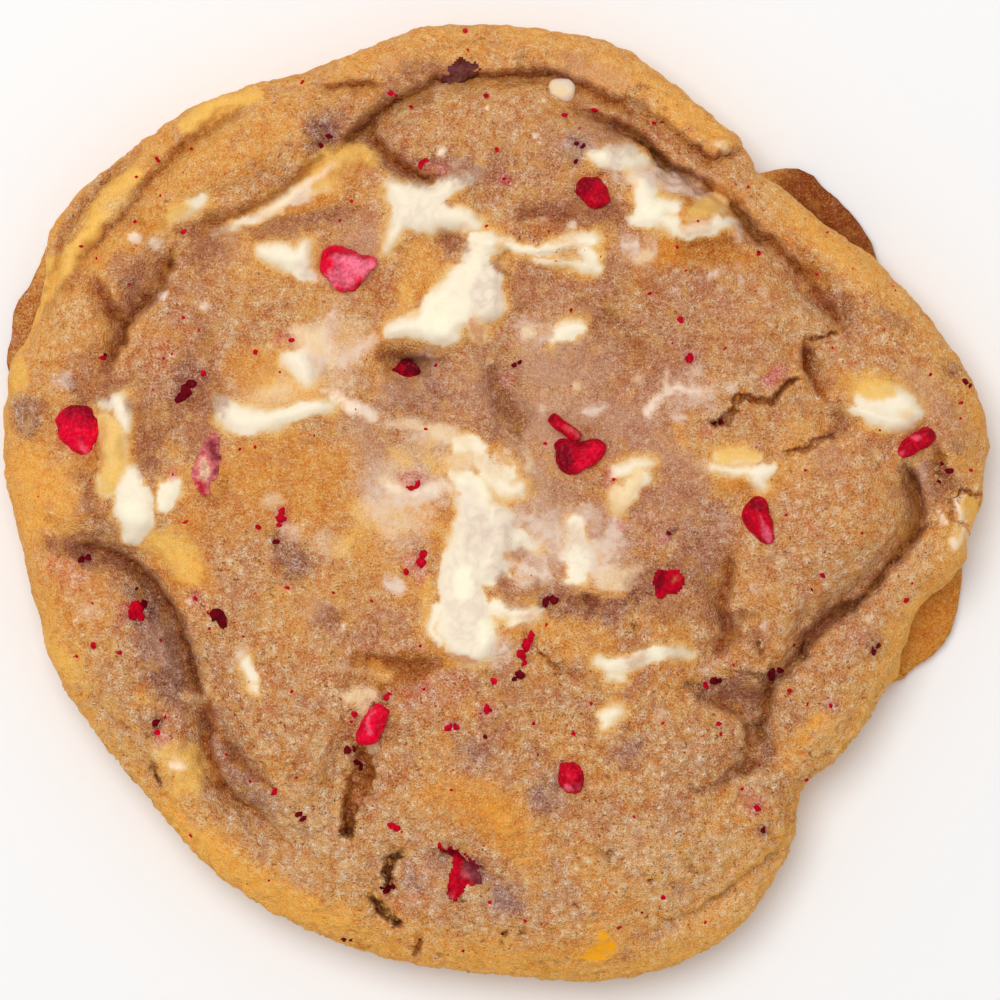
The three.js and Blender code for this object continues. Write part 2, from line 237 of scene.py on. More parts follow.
noise.seed_set(5)  # or noise_vector would start from the clock and differ on each run


def wandered(co):
    """The points moved a little to and fro, so that drawn lines come out uneven, and alike
    at every height, so that the colour of a crease falls on the crease."""
    sway = [0.38 * noise.noise_vector(Vector((x, y, 13)) * 0.8)
            + 0.2 * noise.noise_vector(Vector((x, y, 13)) * 2.6) for x, y in co[:, :2]]
    return co + np.array(sway)


def fold(co, swayed, facing, knots, left, right, sharp):
    """Presses a valley along a line. Its third values are depths, and left and right are
    the widths of its two banks; sharp is how much of it is a crease and not a trough. The
    steeper bank rises to a low lip, and the valley fades out at both ends."""
    near, distance, side, from_end, depth = measured(swayed, knots)
    steep = min(left, right)
    width = np.where(side > 0, left, right)
    width = np.where(width == steep, 0.65 * width, width)
    trough = np.exp(-((distance / width) ** 2))
    crease = np.exp(-1.8 * distance / width)
    lip = 0.26 * (width < steep) * np.exp(-(((distance - steep - 0.3) / 0.8)**2))
    fade = smooth_step(-0.01, 3.0, from_end)
    drop = depth * fade * (1.6 * sharp * crease + 1.4 * (1 - sharp) * trough - lip)
    co[near, 2] -= drop * facing[near]


def crack(co, swayed, facing, knots, depth):
    """Splits the crust along a line whose third values are its half widths."""
    near, distance, side, from_end, width = measured(swayed, knots, margin=2.0)
    rag = 0.3 * np.array([noise.fractal(Vector(point) * 1.5, 0.8, 2.0, 2) for point in co[near]])
    wall = smooth_step(1.0, 0.25, (distance + rag) / np.maximum(width, 0.05))
    co[near, 2] -= depth * wall * smooth_step(-0.01, 0.8, from_end) * facing[near]


def swell(co, facing, x, y, reach, rise, stretch=1.0, turn=0.0):
    """Raises a rounded bulge, or sinks a hollow where the rise is below zero."""
    across = co[:, 0] - x
    up = co[:, 1] - y
    angle = math.radians(turn)
    along = (across * math.cos(angle) + up * math.sin(angle)) / stretch
    beside = -across * math.sin(angle) + up * math.cos(angle)
    co[:, 2] += rise * np.exp(-((along**2 + beside**2) / reach**2)) * facing


def push(co, x, y, reach, out, top):
    """Moves what lies below a level outwards near a place on the side of the round."""
    share = np.exp(-((co[:, 0] - x)**2 + (co[:, 1] - y)**2) / reach**2)
    share = out * share * smooth_step(top, top - 1.5, co[:, 2])
    away = np.hypot(co[:, 0], co[:, 1])[:, None]
    co[:, :2] += co[:, :2] / away * share[:, None]


# The valleys between the folds of the dough, each drawn clockwise round the cookie where it
# follows the rim: knots with depths, then the widths of the outer and the inner bank, and
# how creased it is.
valleys = {
    "top": ([(-18, 37.7, 1.6), (-16.5, 39.7, 1.8), (-14.5, 41.5, 1.9), (-12.8, 43, 1.8),
        (-10.5, 44.3, 1.5), (-8, 45.5, 1.6), (-6, 46.5, 1.7), (-2, 46.9, 1.7), (1, 47, 1.8),
        (5, 47.2, 1.8), (7, 47, 1.7), (8.3, 46.5, 1.5), (10.5, 45.5, 1.4), (12.5, 44.3, 1.2),
        (14.3, 43.5, 1), (16, 42, 0.8), (18, 41, 0.5)], 0.7, 1.7, 0.6),
    "top right": ([(7.6, 43.6, 0.6), (10, 42.8, 1), (12, 42, 1.5), (14, 41.2, 2), (15.5, 40.3, 2),
        (17.5, 38.5, 2.1), (19, 36.8, 2), (20.5, 36.4, 1.9), (22, 35.5, 2), (24.5, 34, 2.1),
        (26, 32.8, 2.1), (27.3, 31.6, 2.1), (28, 30.5, 2.2), (28.7, 29.5, 2.1), (30.2, 28.9, 1.5),
        (31.5, 27.6, 1.2), (33, 26.3, 1.1), (34.5, 24, 1), (35.5, 22.5, 1.1), (37, 21, 1.1),
        (38, 19.7, 1), (38.5, 18.5, 0.8)], 0.85, 1.25, 0.5),
    "top right fork": ([(31.5, 27.6, 0.8), (33, 26, 1), (34.5, 25.2, 0.8), (35.5, 24.8, 0.4)], 0.8, 0.8,
        0.6),
    "right side": ([(33.5, 18.7, 1.4), (34, 17.8, 1.8), (34, 16, 2), (34.3, 14.5, 2), (35, 13, 1.8),
        (35.7, 12, 1.6), (36.3, 11, 1.2)], 1.4, 0.8, 0.6),
    "right": ([(44.5, 5, 1.2), (45.5, 3.5, 1.6), (46.5, 1, 2), (46.8, -1.5, 2.2), (46, -3.5, 2),
        (45, -5, 1.8), (44, -6.3, 1.7), (42.5, -8, 1.7), (41, -10, 1.7), (39.5, -11.2, 1.8),
        (38, -12, 1.9), (36.5, -13, 1.8), (35, -14.3, 1.7), (34, -16, 1.6), (33, -17.3, 1.4),
        (32, -18.7, 1.4), (30.5, -20, 1.5), (30, -22, 1.8), (29.5, -25, 2), (29.3, -27.5, 1.6)], 0.8,
        1.5, 0.6),
    "lower right": ([(22, -21, 0.8), (25, -22.3, 1.2), (27, -23.2, 1.4), (27.7, -24.5, 1.4),
        (28, -26.5, 1.2), (28.7, -28, 0.8)], 1.6, 0.7, 0.5),
    "lower right tail": ([(30.5, -28.3, 1.4), (28, -29, 1.5), (26, -29.8, 1.2), (24, -31, 0.8),
        (22, -32, 0.4)], 0.9, 1.8, 0.5),
    "middle right": ([(25.2, -4, 0.6), (25.8, -6, 1), (25.8, -8, 1.2), (25.3, -9.5, 1.3),
        (24.9, -11, 1.3), (25.3, -12.5, 1.3), (25.8, -14.5, 1.3), (24, -16.5, 1), (22.5, -17.5, 0.5)],
        0.8, 1.5, 0.6),
    "middle right step": ([(25.8, -12, 0.9), (28, -12.2, 0.9), (30, -11.8, 0.5)], 0.5, 1.2, 0.5),
    "upper left": ([(-33, 29.5, 0.8), (-31, 31, 1.2), (-28, 31, 1.4), (-27.5, 32, 1.4),
        (-25.5, 32.3, 1.3), (-23.5, 33.5, 1.4), (-21, 35.6, 1.5), (-18, 37.7, 1.3)], 0.8, 1.6, 0.5),
    "left": ([(-43.3, 13.3, 0.8), (-43, 14.5, 1.2), (-42, 16.2, 1.6), (-41, 18, 2), (-40.5, 19.5, 2.2),
        (-39, 21.5, 2.2), (-37, 23.5, 2), (-36, 26, 1.6), (-35.5, 28.5, 0.9)], 1.8, 0.9, 0.5),
    "left fork": ([(-45.2, 25.2, 0.9), (-43.7, 23.7, 1.4), (-42.5, 22, 1.7), (-41.5, 20.5, 1.8),
        (-40.5, 19.2, 1.2)], 0.9, 1.5, 0.5),
    "upper left rim": ([(-27, 43.8, 1.2), (-32, 40.7, 1.4), (-34, 39.3, 1.2), (-36.5, 36.8, 1),
        (-38.5, 35, 1.2), (-39.8, 32.8, 1.2), (-41.5, 31, 1.2), (-43.5, 29, 1.2), (-45.5, 26.8, 1.1),
        (-47, 24, 0.7)], 1.4, 1, 0.4),
    "outer left rim": ([(-37.5, 40, 0.4), (-41, 37.3, 0.8), (-44.5, 33.5, 0.9), (-47, 29.5, 0.9),
        (-49.5, 24.5, 0.8), (-51.3, 20, 0.4)], 1.2, 0.7, 0.5),
    "lower left": ([(-21, -39.6, 0.3), (-22.8, -38, 0.6), (-24.8, -35.7, 0.8), (-25.7, -34.5, 1),
        (-27, -33.5, 1.2), (-28.5, -32.6, 1.3), (-30, -31, 1.4), (-30.8, -29.5, 1.5),
        (-31.5, -27.5, 1.5), (-31.6, -25, 1.6), (-32.2, -22.5, 1.7), (-32.8, -20, 1.9),
        (-33.5, -17, 1.9), (-34.3, -15, 2.1), (-35, -13, 2), (-36, -11, 2), (-37.5, -9, 2),
        (-39, -7.5, 1.9), (-40.5, -6, 1.8), (-42, -5.4, 1.6), (-45, -4.8, 1.4), (-47.6, -4.2, 0.6)],
        2.2, 0.8, 0.6),
    "lower left inner": ([(-24, -31.5, 0.5), (-25.5, -30.5, 0.8), (-28, -28.5, 1), (-29.3, -26.5, 1.1),
        (-30.5, -25, 0.8)], 0.8, 1.2, 0.5),
    "lower left rim": ([(-38.5, -25.8, 0.7), (-40, -25, 0.8), (-41.5, -24, 0.8), (-43, -22.5, 0.7),
        (-44.5, -21.3, 0.5)], 0.8, 0.8, 0.6),
    "top rim": ([(-9, 49.2, 0.3), (-5, 50.3, 0.6), (0, 50.8, 0.6), (3, 50.8, 0.3)], 0.8, 1.2, 0.2),
    "top left rim": ([(-19, 46.2, 0.4), (-16, 46.2, 0.6), (-13.5, 45.5, 0.4)], 1, 1, 0.3),
    "right rim slab": ([(13, 45.2, 0.6), (15.5, 43.8, 1), (18, 42, 1.1), (20.5, 40.4, 1.2),
        (22.7, 38.4, 1.4), (24.3, 38.2, 1.4), (26, 38.6, 1.4), (27.4, 39.6, 1.2)], 0.5, 1.6, 0.6),
    "left rim slab": ([(-21, 46.2, 0.5), (-18.5, 45.6, 0.9), (-15.8, 45.9, 1.1), (-13.4, 45.9, 1.1),
        (-12, 44.9, 0.9)], 0.5, 1.3, 0.6),
    "chunk above the ribbon": ([(1, 29.8, 0.5), (3, 31.2, 0.9), (5.5, 31.3, 0.9), (7.8, 30.8, 0.9),
        (9.6, 29.8, 0.6)], 1.2, 0.5, 0.5),
    "plateau edge": ([(-13, 42.4, 0.8), (-13.4, 40.2, 1.4), (-11.6, 38.2, 1.7), (-9.8, 36.9, 1.7),
        (-8, 35.8, 1.6), (-6.2, 35.5, 1.2), (-4.8, 36.2, 0.6)], 0.5, 1.6, 0.6),
    "patch edge": ([(-8, -37.4, 0.5), (-5.5, -38, 0.8), (-3.5, -39, 0.9), (-1.8, -40.6, 0.6)], 0.5, 1.2,
        0.5),
    "round the third raspberry": ([(-42.6, 12.4, 0.5), (-43.2, 10, 1), (-43.4, 7.5, 1.2),
        (-43.6, 5, 1.2), (-43.2, 2.4, 0.8)], 0.7, 0.5, 0.6),
    "middle": ([(-0.5, 16, 0.5), (0, 13, 0.9), (1, 11, 1.1), (2, 9, 1.1), (2.5, 7, 0.7)], 2.6, 1.6,
        0.2),
    "under the middle pool": ([(-12.6, 16.6, 0.6), (-10, 15.8, 1.5), (-7.5, 15.6, 1.6),
        (-5.4, 15.4, 0.8)], 0.7, 1.5, 0.3),
    "under the bulge": ([(8, -11.2, 0.8), (10, -10.6, 1.5), (12.4, -11.2, 1.4)], 0.8, 1, 0.3),
    "lower ledge": ([(32, -36.6, 0.4), (31, -38, 0.7), (29, -39.5, 0.8), (27, -41, 0.8),
        (25, -42.8, 0.8), (23, -44, 0.7), (20.5, -45.3, 0.6), (18, -46.3, 0.5), (14.5, -48.5, 0.3)],
        1.3, 0.3, 0.5),
    "below the centre pool": ([(-16, -16.5, 0.6), (-12, -17.4, 1), (-8, -17.5, 1), (-4, -17.2, 0.5)],
        0.7, 1, 0.3),
}

# Bulges and hollows between them: place, reach, rise, and where needed stretch and turn.
bulges = [
    (38, -3, 6, 0.9), (0, 42, 6, 0.7, 2, 0), (34.8, 20.2, 1.8, 0.8), (-47, -13, 4.5, 0.8, 1.5, 100),
    (-46, 19, 3.5, 0.6), (-20, -27, 5, 0.5), (20, -36, 6, 0.5), (28, 16, 5, 0.5),
    (-31, 38, 3.5, 0.5, 2, 40), (-23, 39, 4, 0.6, 2, 30), (5, 30, 2.2, 0.8, 1.8, 5),
    (11, -14.5, 3.5, 0.8, 1.8, 10), (23, -26, 4, 0.5), (-47, -2, 4, 0.4, 1.5, 90),
    (42, 22, 4, 0.4, 1.5, -45), (-9, -6.5, 2.5, -0.5), (-9.2, 15, 1.6, -1, 1.9, 0),
    (26, -21, 2.2, -1.2), (37.5, 9, 1.8, -1.2), (36.6, 22.6, 1.8, -0.4), (28, -13, 1.6, -0.9),
    (20, 38, 2, -0.4), (-38, -14, 3, -0.8, 2, 110), (-40.5, 6, 1.3, -0.8), (-5.5, 29.2, 1.3, -0.7),
    (-28, -3, 5, 0.5), (14, 25, 3, 0.4), (12, 9.5, 3, -0.4), (-12, 24.5, 3, -0.4), (20.5, -3, 3, -0.3),
    (48.2, 1.2, 1.6, -1, 1.8, 80), (-33.2, -21.6, 0.9, 1.3, 1.5, -20), (51.2, -0.8, 0.8, 0.9, 1.8, 80),
    (49.2, -2.4, 0.6, 0.6, 1.6, 50), (50.6, -4, 0.7, 0.6, 1.5, 60),
]

# Where the side stands out: place, reach, how far, and the level below which it does.
ledges = [
    (-53, 19.5, 5, 1.8, 6), (-50, 29, 4, 0.7, 20), (32.5, 37, 3.5, 2.2, 6), (41.5, 28, 4, 1.5, 6),
    (38, 33.5, 3.5, 0.2, 6), (46.5, -16, 6.5, 1.3, 6), (44.4, -19.8, 2.2, 1, 6), (50, -8, 4, 1.2, 12),
    (53, -3.4, 2.4, -0.9, 20), (-50.8, 25, 3.4, -1.2, 20), (35.5, -31, 3, -0.5, 20),
    (26.6, 40, 1.5, 0.6, 20), (29.4, 37.2, 1.5, -0.5, 20), (-31.5, 43.5, 4, 0.6, 20),
    (-26, 45.5, 3, 0.5, 20),
]

# Cracks in the crust: knots with half widths, then the depth.
cracks = [
    ([(23.5, 9, 0.3), (24.5, 8.7, 0.6), (25.8, 9.8, 0.6), (26.4, 11.4, 0.5), (27, 11.8, 0.5),
     (28.5, 11, 0.6), (29.5, 11.3, 0.5), (30.4, 11.1, 0.6), (31.3, 12.7, 0.5), (32.2, 13.3, 0.4),
     (33.5, 13.8, 0.3)], 1.5),
    ([(31.3, 5.6, 0.25), (33, 5.8, 0.35), (35, 6.6, 0.4), (36.3, 7.3, 0.35), (38, 6.8, 0.2)], 1),
    ([(34.2, 17.7, 0.4), (35.5, 18, 0.4), (37.5, 18.8, 0.2)], 1.2),
    ([(-13.8, -26.2, 1.1), (-14.4, -28.6, 1.8), (-15, -30.8, 1.7), (-15.8, -33, 1.3), (-16.2, -35.2, 1),
     (-16, -36.8, 0.6)], 1.7),
    ([(-10.3, -38, 0.5), (-11.2, -38.9, 0.8), (-12, -40.3, 0.6), (-11.6, -41.6, 0.6),
     (-12, -42.5, 0.8)], 1.5),
    ([(-14.2, -43.1, 0.6), (-13.2, -43.6, 0.8), (-12.6, -44.6, 0.9), (-11.7, -45.3, 0.7),
     (-10.8, -45.9, 0.5), (-11.3, -46.6, 0.3)], 1.5),
    ([(-8.2, -47.2, 0.4), (-8.6, -48.4, 0.5), (-9, -49.7, 0.4)], 1.3),
    ([(-5.8, -49.3, 0.25), (-6.5, -50.1, 0.2)], 0.7),
    ([(4.5, -15.5, 0.2), (5.5, -17, 0.3), (6.5, -18, 0.3), (7.5, -18.8, 0.2)], 0.7),
    ([(14.5, -13, 0.25), (15, -14, 0.25)], 0.5),
    ([(14.5, 45, 0.25), (15.5, 45.6, 0.25)], 0.6),
    ([(-22.7, -30, 0.25), (-22, -28, 0.25)], 0.6),
    ([(28.5, -15, 0.25), (29.5, -17, 0.3)], 0.7),
    ([(48.4, 6.2, 0.5), (48.8, 4.8, 0.8), (49.1, 3.4, 0.7), (48.8, 2.4, 0.4)], 0.9),
    ([(53.6, 1.2, 0.2), (52.4, 0.9, 0.35), (51.2, 1.3, 0.35), (50.2, 0.4, 0.3)], 1.4),
    ([(52.6, -3.2, 0.2), (51.8, -2.4, 0.25), (50.2, -1.6, 0.3), (49.9, -0.4, 0.25)], 1),
    ([(16, -40.3, 0.25), (17.2, -41.8, 0.3)], 0.7),
    ([(12.3, -37.7, 0.25), (12.6, -39.5, 0.25)], 0.6),
    ([(20.5, -39, 0.25), (22, -40.5, 0.3), (22.5, -41.2, 0.2)], 0.8),
    ([(18.8, -41.4, 0.2), (20.3, -42.9, 0.25)], 0.6),
    ([(-38, -28.5, 0.5), (-37.3, -29.7, 0.4), (-36.8, -31.5, 0.2)], 1),
    ([(3, 26.9, 0.3), (6, 27.2, 0.45), (9, 27.2, 0.3)], 0.9),
    ([(-36.8, -0.5, 0.2), (-36, 1.5, 0.2)], 0.3),
    ([(10, 25.5, 0.3), (9.6, 28, 0.25)], 0.5),
]

# The fine surface is divided once more where a crack crosses it.
bpy.ops.object.mode_set(mode="EDIT")
bpy.ops.mesh.select_mode(type="VERT")
bpy.ops.mesh.select_all(action="DESELECT")
bpy.ops.object.mode_set(mode="OBJECT")
co = points_of(dough)
close = np.zeros(len(co), bool)
for knots, depth in cracks:
    near, distance, *_, width = measured(co, knots, margin=3.0)
    close[near[distance < width + 0.8]] = True
close &= co[:, 2] > 6
dough.data.vertices.foreach_set("select", close)
bpy.ops.object.mode_set(mode="EDIT")
bpy.ops.mesh.subdivide(number_cuts=1)
bpy.ops.object.mode_set(mode="OBJECT")

co = points_of(dough)
facing = smooth_step(0.05, 0.55, normals_of(dough)[:, 2]) * smooth_step(5.0, 9.0, co[:, 2])
swayed = wandered(co)
for knots, outer, inner, sharp in valleys.values():
    fold(co, swayed, facing, knots, outer, inner, sharp)
for x, y, reach, out, top in ledges:
    push(co, x, y, reach, out, top)
for bulge in bulges:
    swell(co, facing, *bulge)
for knots, depth in cracks:
    crack(co, swayed, facing, knots, depth)

# The side stood a little further out before it was evened.
normal = normals_of(dough)
upright = smooth_step(0.8, 0.3, abs(normal[:, 2]))
co[:, :2] += normal[:, :2] * (0.42 * upright)[:, None]

# The crumb: lumps of a millimetre or two and creased clumps of less than one, coarser at
# the bottom of the round, and left out under the flat base.
lumps = np.array([noise.fractal(Vector(point) * 0.45, 1.0, 2.0, 3) for point in co])
clumps = np.array([0.25 - abs(noise.noise(Vector(point) * 1.1)) for point in co])
coarse = 0.3 + 0.7 * smooth_step(-10, -24, co[:, 1])
baked = smooth_step(0.4, 2.0, co[:, 2])
bump = baked * (0.3 * lumps + 0.75 * coarse * clumps)
co += normals_of(dough) * bump[:, None]
co[:, 2] = np.maximum(co[:, 2], 0)
set_points(dough, co)

# The flat underside needs few faces, and the side fewer than the top.
for low, high, kept_share in ((-1.0, 0.15, 0.05), (0.15, 8.0, 0.37)):
    bpy.ops.object.mode_set(mode="EDIT")
    bpy.ops.mesh.select_mode(type="FACE")
    bpy.ops.mesh.select_all(action="DESELECT")
    bpy.ops.object.mode_set(mode="OBJECT")
    spare = [low * MM < face.center.z < high * MM for face in dough.data.polygons]
    dough.data.polygons.foreach_set("select", spare)
    bpy.ops.object.mode_set(mode="EDIT")
    bpy.ops.mesh.decimate(ratio=kept_share)
    bpy.ops.object.mode_set(mode="OBJECT")
bpy.ops.object.shade_smooth()

# ---- Colour of the bake ------------------------------------------------------------------
# Dough, melted chocolate and raspberry juice run into each other, so one set of colours
# covers them all: plain words here, with red, green, blue and how smooth the surface is.
# Brown, rust, umber and cocoa also serve as painted shade in folds, pockets and hollows.
colours = {
    "tan": (208, 146, 92, 0), "sand": (228, 178, 121, 0), "gold": (229, 158, 72, 0.4),
    "amber": (207, 124, 40, 0.5), "honey": (238, 185, 88, 0.7), "cream": (240, 213, 168, 0.8),
    "ivory": (250, 234, 206, 1), "bright": (254, 243, 212, 1), "milk": (226, 204, 184, 0.9),
    "mauve": (178, 118, 87, 0.35), "dusk": (150, 99, 80, 0.2), "plum": (112, 60, 66, 0.2),
    "brown": (146, 90, 54, 0.4), "rust": (158, 86, 28, 0.5), "umber": (84, 32, 8, 0.5),
    "coral": (214, 128, 82, 0), "rose": (222, 118, 118, 0), "crimson": (196, 4, 34, 0),
    "wine": (104, 4, 20, 0), "pink": (250, 120, 145, 0), "scarlet": (232, 8, 50, 0),
    "toast": (186, 108, 50, 0.3), "apricot": (252, 178, 70, 0.6), "russet": (122, 48, 12, 0.6),
    "marigold": (240, 160, 8, 1), "cocoa": (152, 91, 63, 0.5), "heather": (156, 120, 112, 0.3),
    "taupe": (184, 140, 114, 0.75),
}


def in_light(name):
    """The colour as light, by the usual curve of a screen, with its smoothness behind it."""
    shares = np.array(colours[name][:3]) / 255
    return np.append(np.where(shares > 0.04045, ((shares + 0.055) / 1.055)**2.4, shares / 12.92),
                     colours[name][3])


def dye(coat, name, share):
    """Draws a coat towards a colour, by a share of the way at each point."""
    coat += (in_light(name) - coat) * share[:, None]


def inside(co, lines):
    """How far each point lies inside the nearest of some lines with half widths."""
    depth = np.full(len(co), -99.0)
    for knots in lines:
        near, distance, *_, width = measured(co, knots, margin=5.0)
        depth[near] = np.maximum(depth[near], width - distance)
    return depth


def painted(coat, co, strokes):
    """Lays strokes on a coat: colour, softness of the edge, strength, then lines. Edges are
    ragged by their softness, and milky strokes keep to a web of fine threads."""
    mottle = np.array([noise.fractal(Vector(point) * 0.9, 0.7, 2.0, 3) for point in co])
    web = 1 - smooth_step(0.02, 0.3, abs(np.array([noise.noise(Vector(point) * 0.75) for point in co])))
    for name, softness, strength, *lines in strokes:
        depth = inside(co, lines) + 0.3 * softness * mottle
        share = strength * smooth_step(-softness / 2, softness / 2, depth)
        if name == "milk":
            share *= 0.45 + 0.75 * web
        dye(coat, name, np.minimum(share, 1))


# The melted white chocolate: where each piece ran, as lines with half widths.
melted = {
    "upper_right": [[(15.2, 35.6, 0.7), (16.2, 34.6, 1.3), (16.3, 33, 1.5), (17, 31.6, 1.7),
        (18.2, 32.3, 1.2), (19.8, 32.4, 0.8)], [(15.2, 31, 0.8), (17.5, 31, 0.9), (19.2, 30.6, 0.8),
        (19.6, 29.6, 0.5)], [(20.6, 29.6, 0.7), (22.5, 30, 0.9), (24.5, 30.6, 0.8), (25.6, 31, 0.6)],
        [(21, 31.7, 0.9), (22.5, 32.2, 1.1), (24.3, 32.8, 0.9)]],
    "top_right": [[(10.6, 37.9, 0.6), (11.7, 37.8, 1), (13.5, 37.4, 1.1), (15.3, 37.5, 1.1),
        (16.3, 37.3, 0.6)], [(12.5, 38.6, 0.6), (15, 38.7, 0.7)]],
    "upper_left": [[(-11.3, 34.8, 0.9), (-10.2, 33.4, 1.8), (-8.4, 33.2, 1.9), (-6.6, 33.6, 1.3),
        (-4.8, 34.8, 1.2), (-3.4, 35.6, 1), (-2.2, 36.6, 0.5)], [(-9.6, 32, 1.8), (-7.8, 31.2, 1.7),
        (-5.6, 31.2, 1.4), (-3.6, 30.9, 1.3), (-2.2, 30.2, 0.8)], [(-10.2, 31.5, 1.1), (-11, 29.8, 0.8),
        (-12, 27.8, 0.4)]],
    "middle": [[(-2.2, 28.6, 1.1), (-0.5, 28.3, 1.2), (1.2, 28.4, 0.8)], [(-2.5, 27.8, 1),
        (-2.2, 26, 2), (-2.9, 24, 2.5), (-4.3, 22.3, 2.8), (-5.6, 20.4, 2.9), (-5.8, 18.8, 1.8)],
        [(-7, 19.8, 2), (-9.6, 19.4, 1.3), (-11.6, 18.8, 0.9)], [(-0.6, 25, 1.4), (-1, 23.5, 1.6),
        (-0.8, 21.5, 1.6)], [(-2.4, 19.6, 0.7), (-1.8, 18.2, 0.8)]],
    "ribbon": [[(1.2, 28.2, 0.5), (4, 27.5, 0.6), (6.5, 27.9, 0.6), (9, 28.6, 0.8), (10.4, 28.8, 0.8)],
        [(4.5, 26.4, 0.3), (7.5, 26.3, 0.35), (9.5, 25.9, 0.7), (11, 25.6, 0.6)], [(9.8, 27.5, 0.8),
        (10.6, 26.4, 0.8)]],
    "left_upper": [[(-42.8, 11, 0.8), (-41.4, 11, 1.1), (-40.6, 9.6, 0.9), (-40.4, 8.2, 0.5)],
        [(-42.8, 8.6, 1.2), (-42, 6, 1.7), (-42.3, 3.5, 1.5), (-42.4, 1.6, 1)]],
    "left_lower": [[(-39.7, 3.2, 1), (-39.8, 1.5, 1.8), (-39.4, -0.6, 2.3), (-39.2, -2.2, 1.9),
        (-39.9, -3.6, 1.1)]],
    "inner_left": [[(-30.4, 11.2, 0.8), (-29.4, 10, 1.4), (-27.8, 9, 1.6), (-25.8, 9, 1.3),
        (-23.8, 9.2, 1.1), (-21.8, 9.9, 0.9), (-19.8, 10.4, 0.8), (-18.2, 10.6, 0.6)]],
    "inner_left_block": [[(-22.4, 15.8, 1), (-21.2, 15, 1.2), (-20.6, 13.6, 1)]],
    "left_of_middle": [[(-25.4, 27.4, 0.8), (-23.5, 27, 1.4), (-21.6, 26.6, 1.4), (-20.9, 28.2, 0.6)],
        [(-21.3, 25.2, 0.9), (-20, 24.8, 0.5)]],
    "centre": [[(-4.8, 3.2, 0.4), (-3.6, 2.4, 1.3), (-2.2, 1.5, 1.5), (-1.2, 0.3, 1.5)], [(-3, 1, 1.5),
        (-2.6, -1.5, 1.9), (-2.8, -4, 2.3), (-3.4, -6.5, 2.6), (-3.8, -9, 2.5), (-3.4, -11.5, 2.7),
        (-3.2, -13.5, 3.2), (-2.8, -15.2, 2.6)], [(0, -0.8, 1.2), (0.8, -2.8, 1.3), (0.4, -5.3, 1.6),
        (-0.8, -7.5, 1.5)], [(1.4, -3.6, 0.7), (2.8, -4, 0.9), (4, -4.8, 0.5)], [(-6.4, -11.5, 0.6),
        (-7, -13.6, 0.6), (-6.4, -15.2, 0.5)], [(0, -11.5, 1), (2, -12, 0.8), (4.3, -11.8, 0.6),
        (5, -11.5, 0.4)], [(2, -13, 0.7), (4.5, -12.3, 0.4)]],
    "sheet": [[(-4, 6.3, 0.9), (-2.3, 6.6, 0.8), (-1.7, 5.4, 0.8), (-1.2, 4, 0.8), (-0.5, 2.8, 0.9),
        (1, 1.5, 1), (2.6, 1.5, 0.8)], [(-0.6, 3.6, 1), (1.2, 3.2, 0.9), (0.4, 4.8, 0.7)]],
    "right": [[(13, 3.4, 0.6), (14.2, 3.8, 0.7), (15.6, 4.4, 0.5), (16.8, 4.3, 0.35)],
        [(15.5, 3.2, 0.9), (16.3, 2.8, 0.6), (15, 2, 1)], [(13.3, 1.2, 0.9), (13.5, -0.4, 0.7),
        (14.6, 0.8, 0.9)]],
    "right_fold": [[(23.8, 3.9, 0.5), (25.8, 3.5, 0.6), (27.5, 3.4, 0.6), (29.3, 3.3, 0.8),
        (30.4, 4, 0.4)], [(28.5, 2.6, 0.7), (29.3, 1.8, 0.5)], [(24.5, 5, 0.6), (26.5, 5.1, 0.8),
        (28.5, 5, 0.6)]],
    "rim_right": [[(39, 10.3, 0.5), (41, 9.5, 0.8), (43, 8.9, 0.9), (45, 8.8, 0.8)], [(40.2, 11.4, 1),
        (42, 11.2, 1.8), (44, 10.6, 1.9), (45.4, 9.9, 1.3)]],
}

# Thinner runs and smears that lie on the crust.
smears = {
    "roll": [[(-31, 29.4, 0.3), (-28, 30.7, 0.5), (-25.5, 31.7, 0.5), (-23.4, 33, 0.8),
        (-20.8, 34.6, 0.9), (-18.4, 36.4, 0.9)], [(-19.5, 34.8, 0.8), (-18, 35.6, 1),
        (-16.5, 37, 1.2)]],
    "streak": [[(11.3, -17.2, 0.6), (12.5, -17.8, 1), (14, -17.6, 1.1), (15.5, -17.1, 0.9),
        (17, -16.6, 0.8), (18.5, -16.4, 0.8), (20, -16.4, 0.6), (21.5, -16.6, 0.4)],
        [(12.5, -18.8, 0.7), (13.8, -19, 0.5)]],
    "left_smear": [[(-27.3, -17.3, 0.6), (-26.9, -18.5, 0.7), (-26.5, -19.3, 0.5)],
        [(-26.5, -20.2, 0.5), (-26, -20.8, 0.3)]],
    "middle_smear": [[(8.8, -2.3, 1), (8.8, -4.3, 1.1), (9.3, -6, 1.5), (8.8, -7.4, 1)],
        [(8, -8.5, 0.5), (9.5, -8.2, 0.5)]],
    "lower_dab": [[(12, -23.5, 0.9), (13, -22.9, 0.8), (11.9, -24.3, 0.5)]],
    "upper_edge": [[(-37, 30.1, 0.4), (-35.4, 31.2, 0.6), (-33.8, 32.3, 0.7), (-32.2, 33.3, 0.7)]],
}

# Two chips that slumped and lie like dabs on the crust.
slumped = {
    "left": [[(-36.1, -0.2, 0.8), (-35.8, 1.1, 1.2), (-35.2, 2.3, 0.8)], [(-36.4, 1.8, 0.5)]],
    "middle": [[(6.9, 18.4, 0.7), (8, 18.9, 1.1), (9.1, 19.1, 0.8)], [(6.2, 17.6, 0.35)]],
}
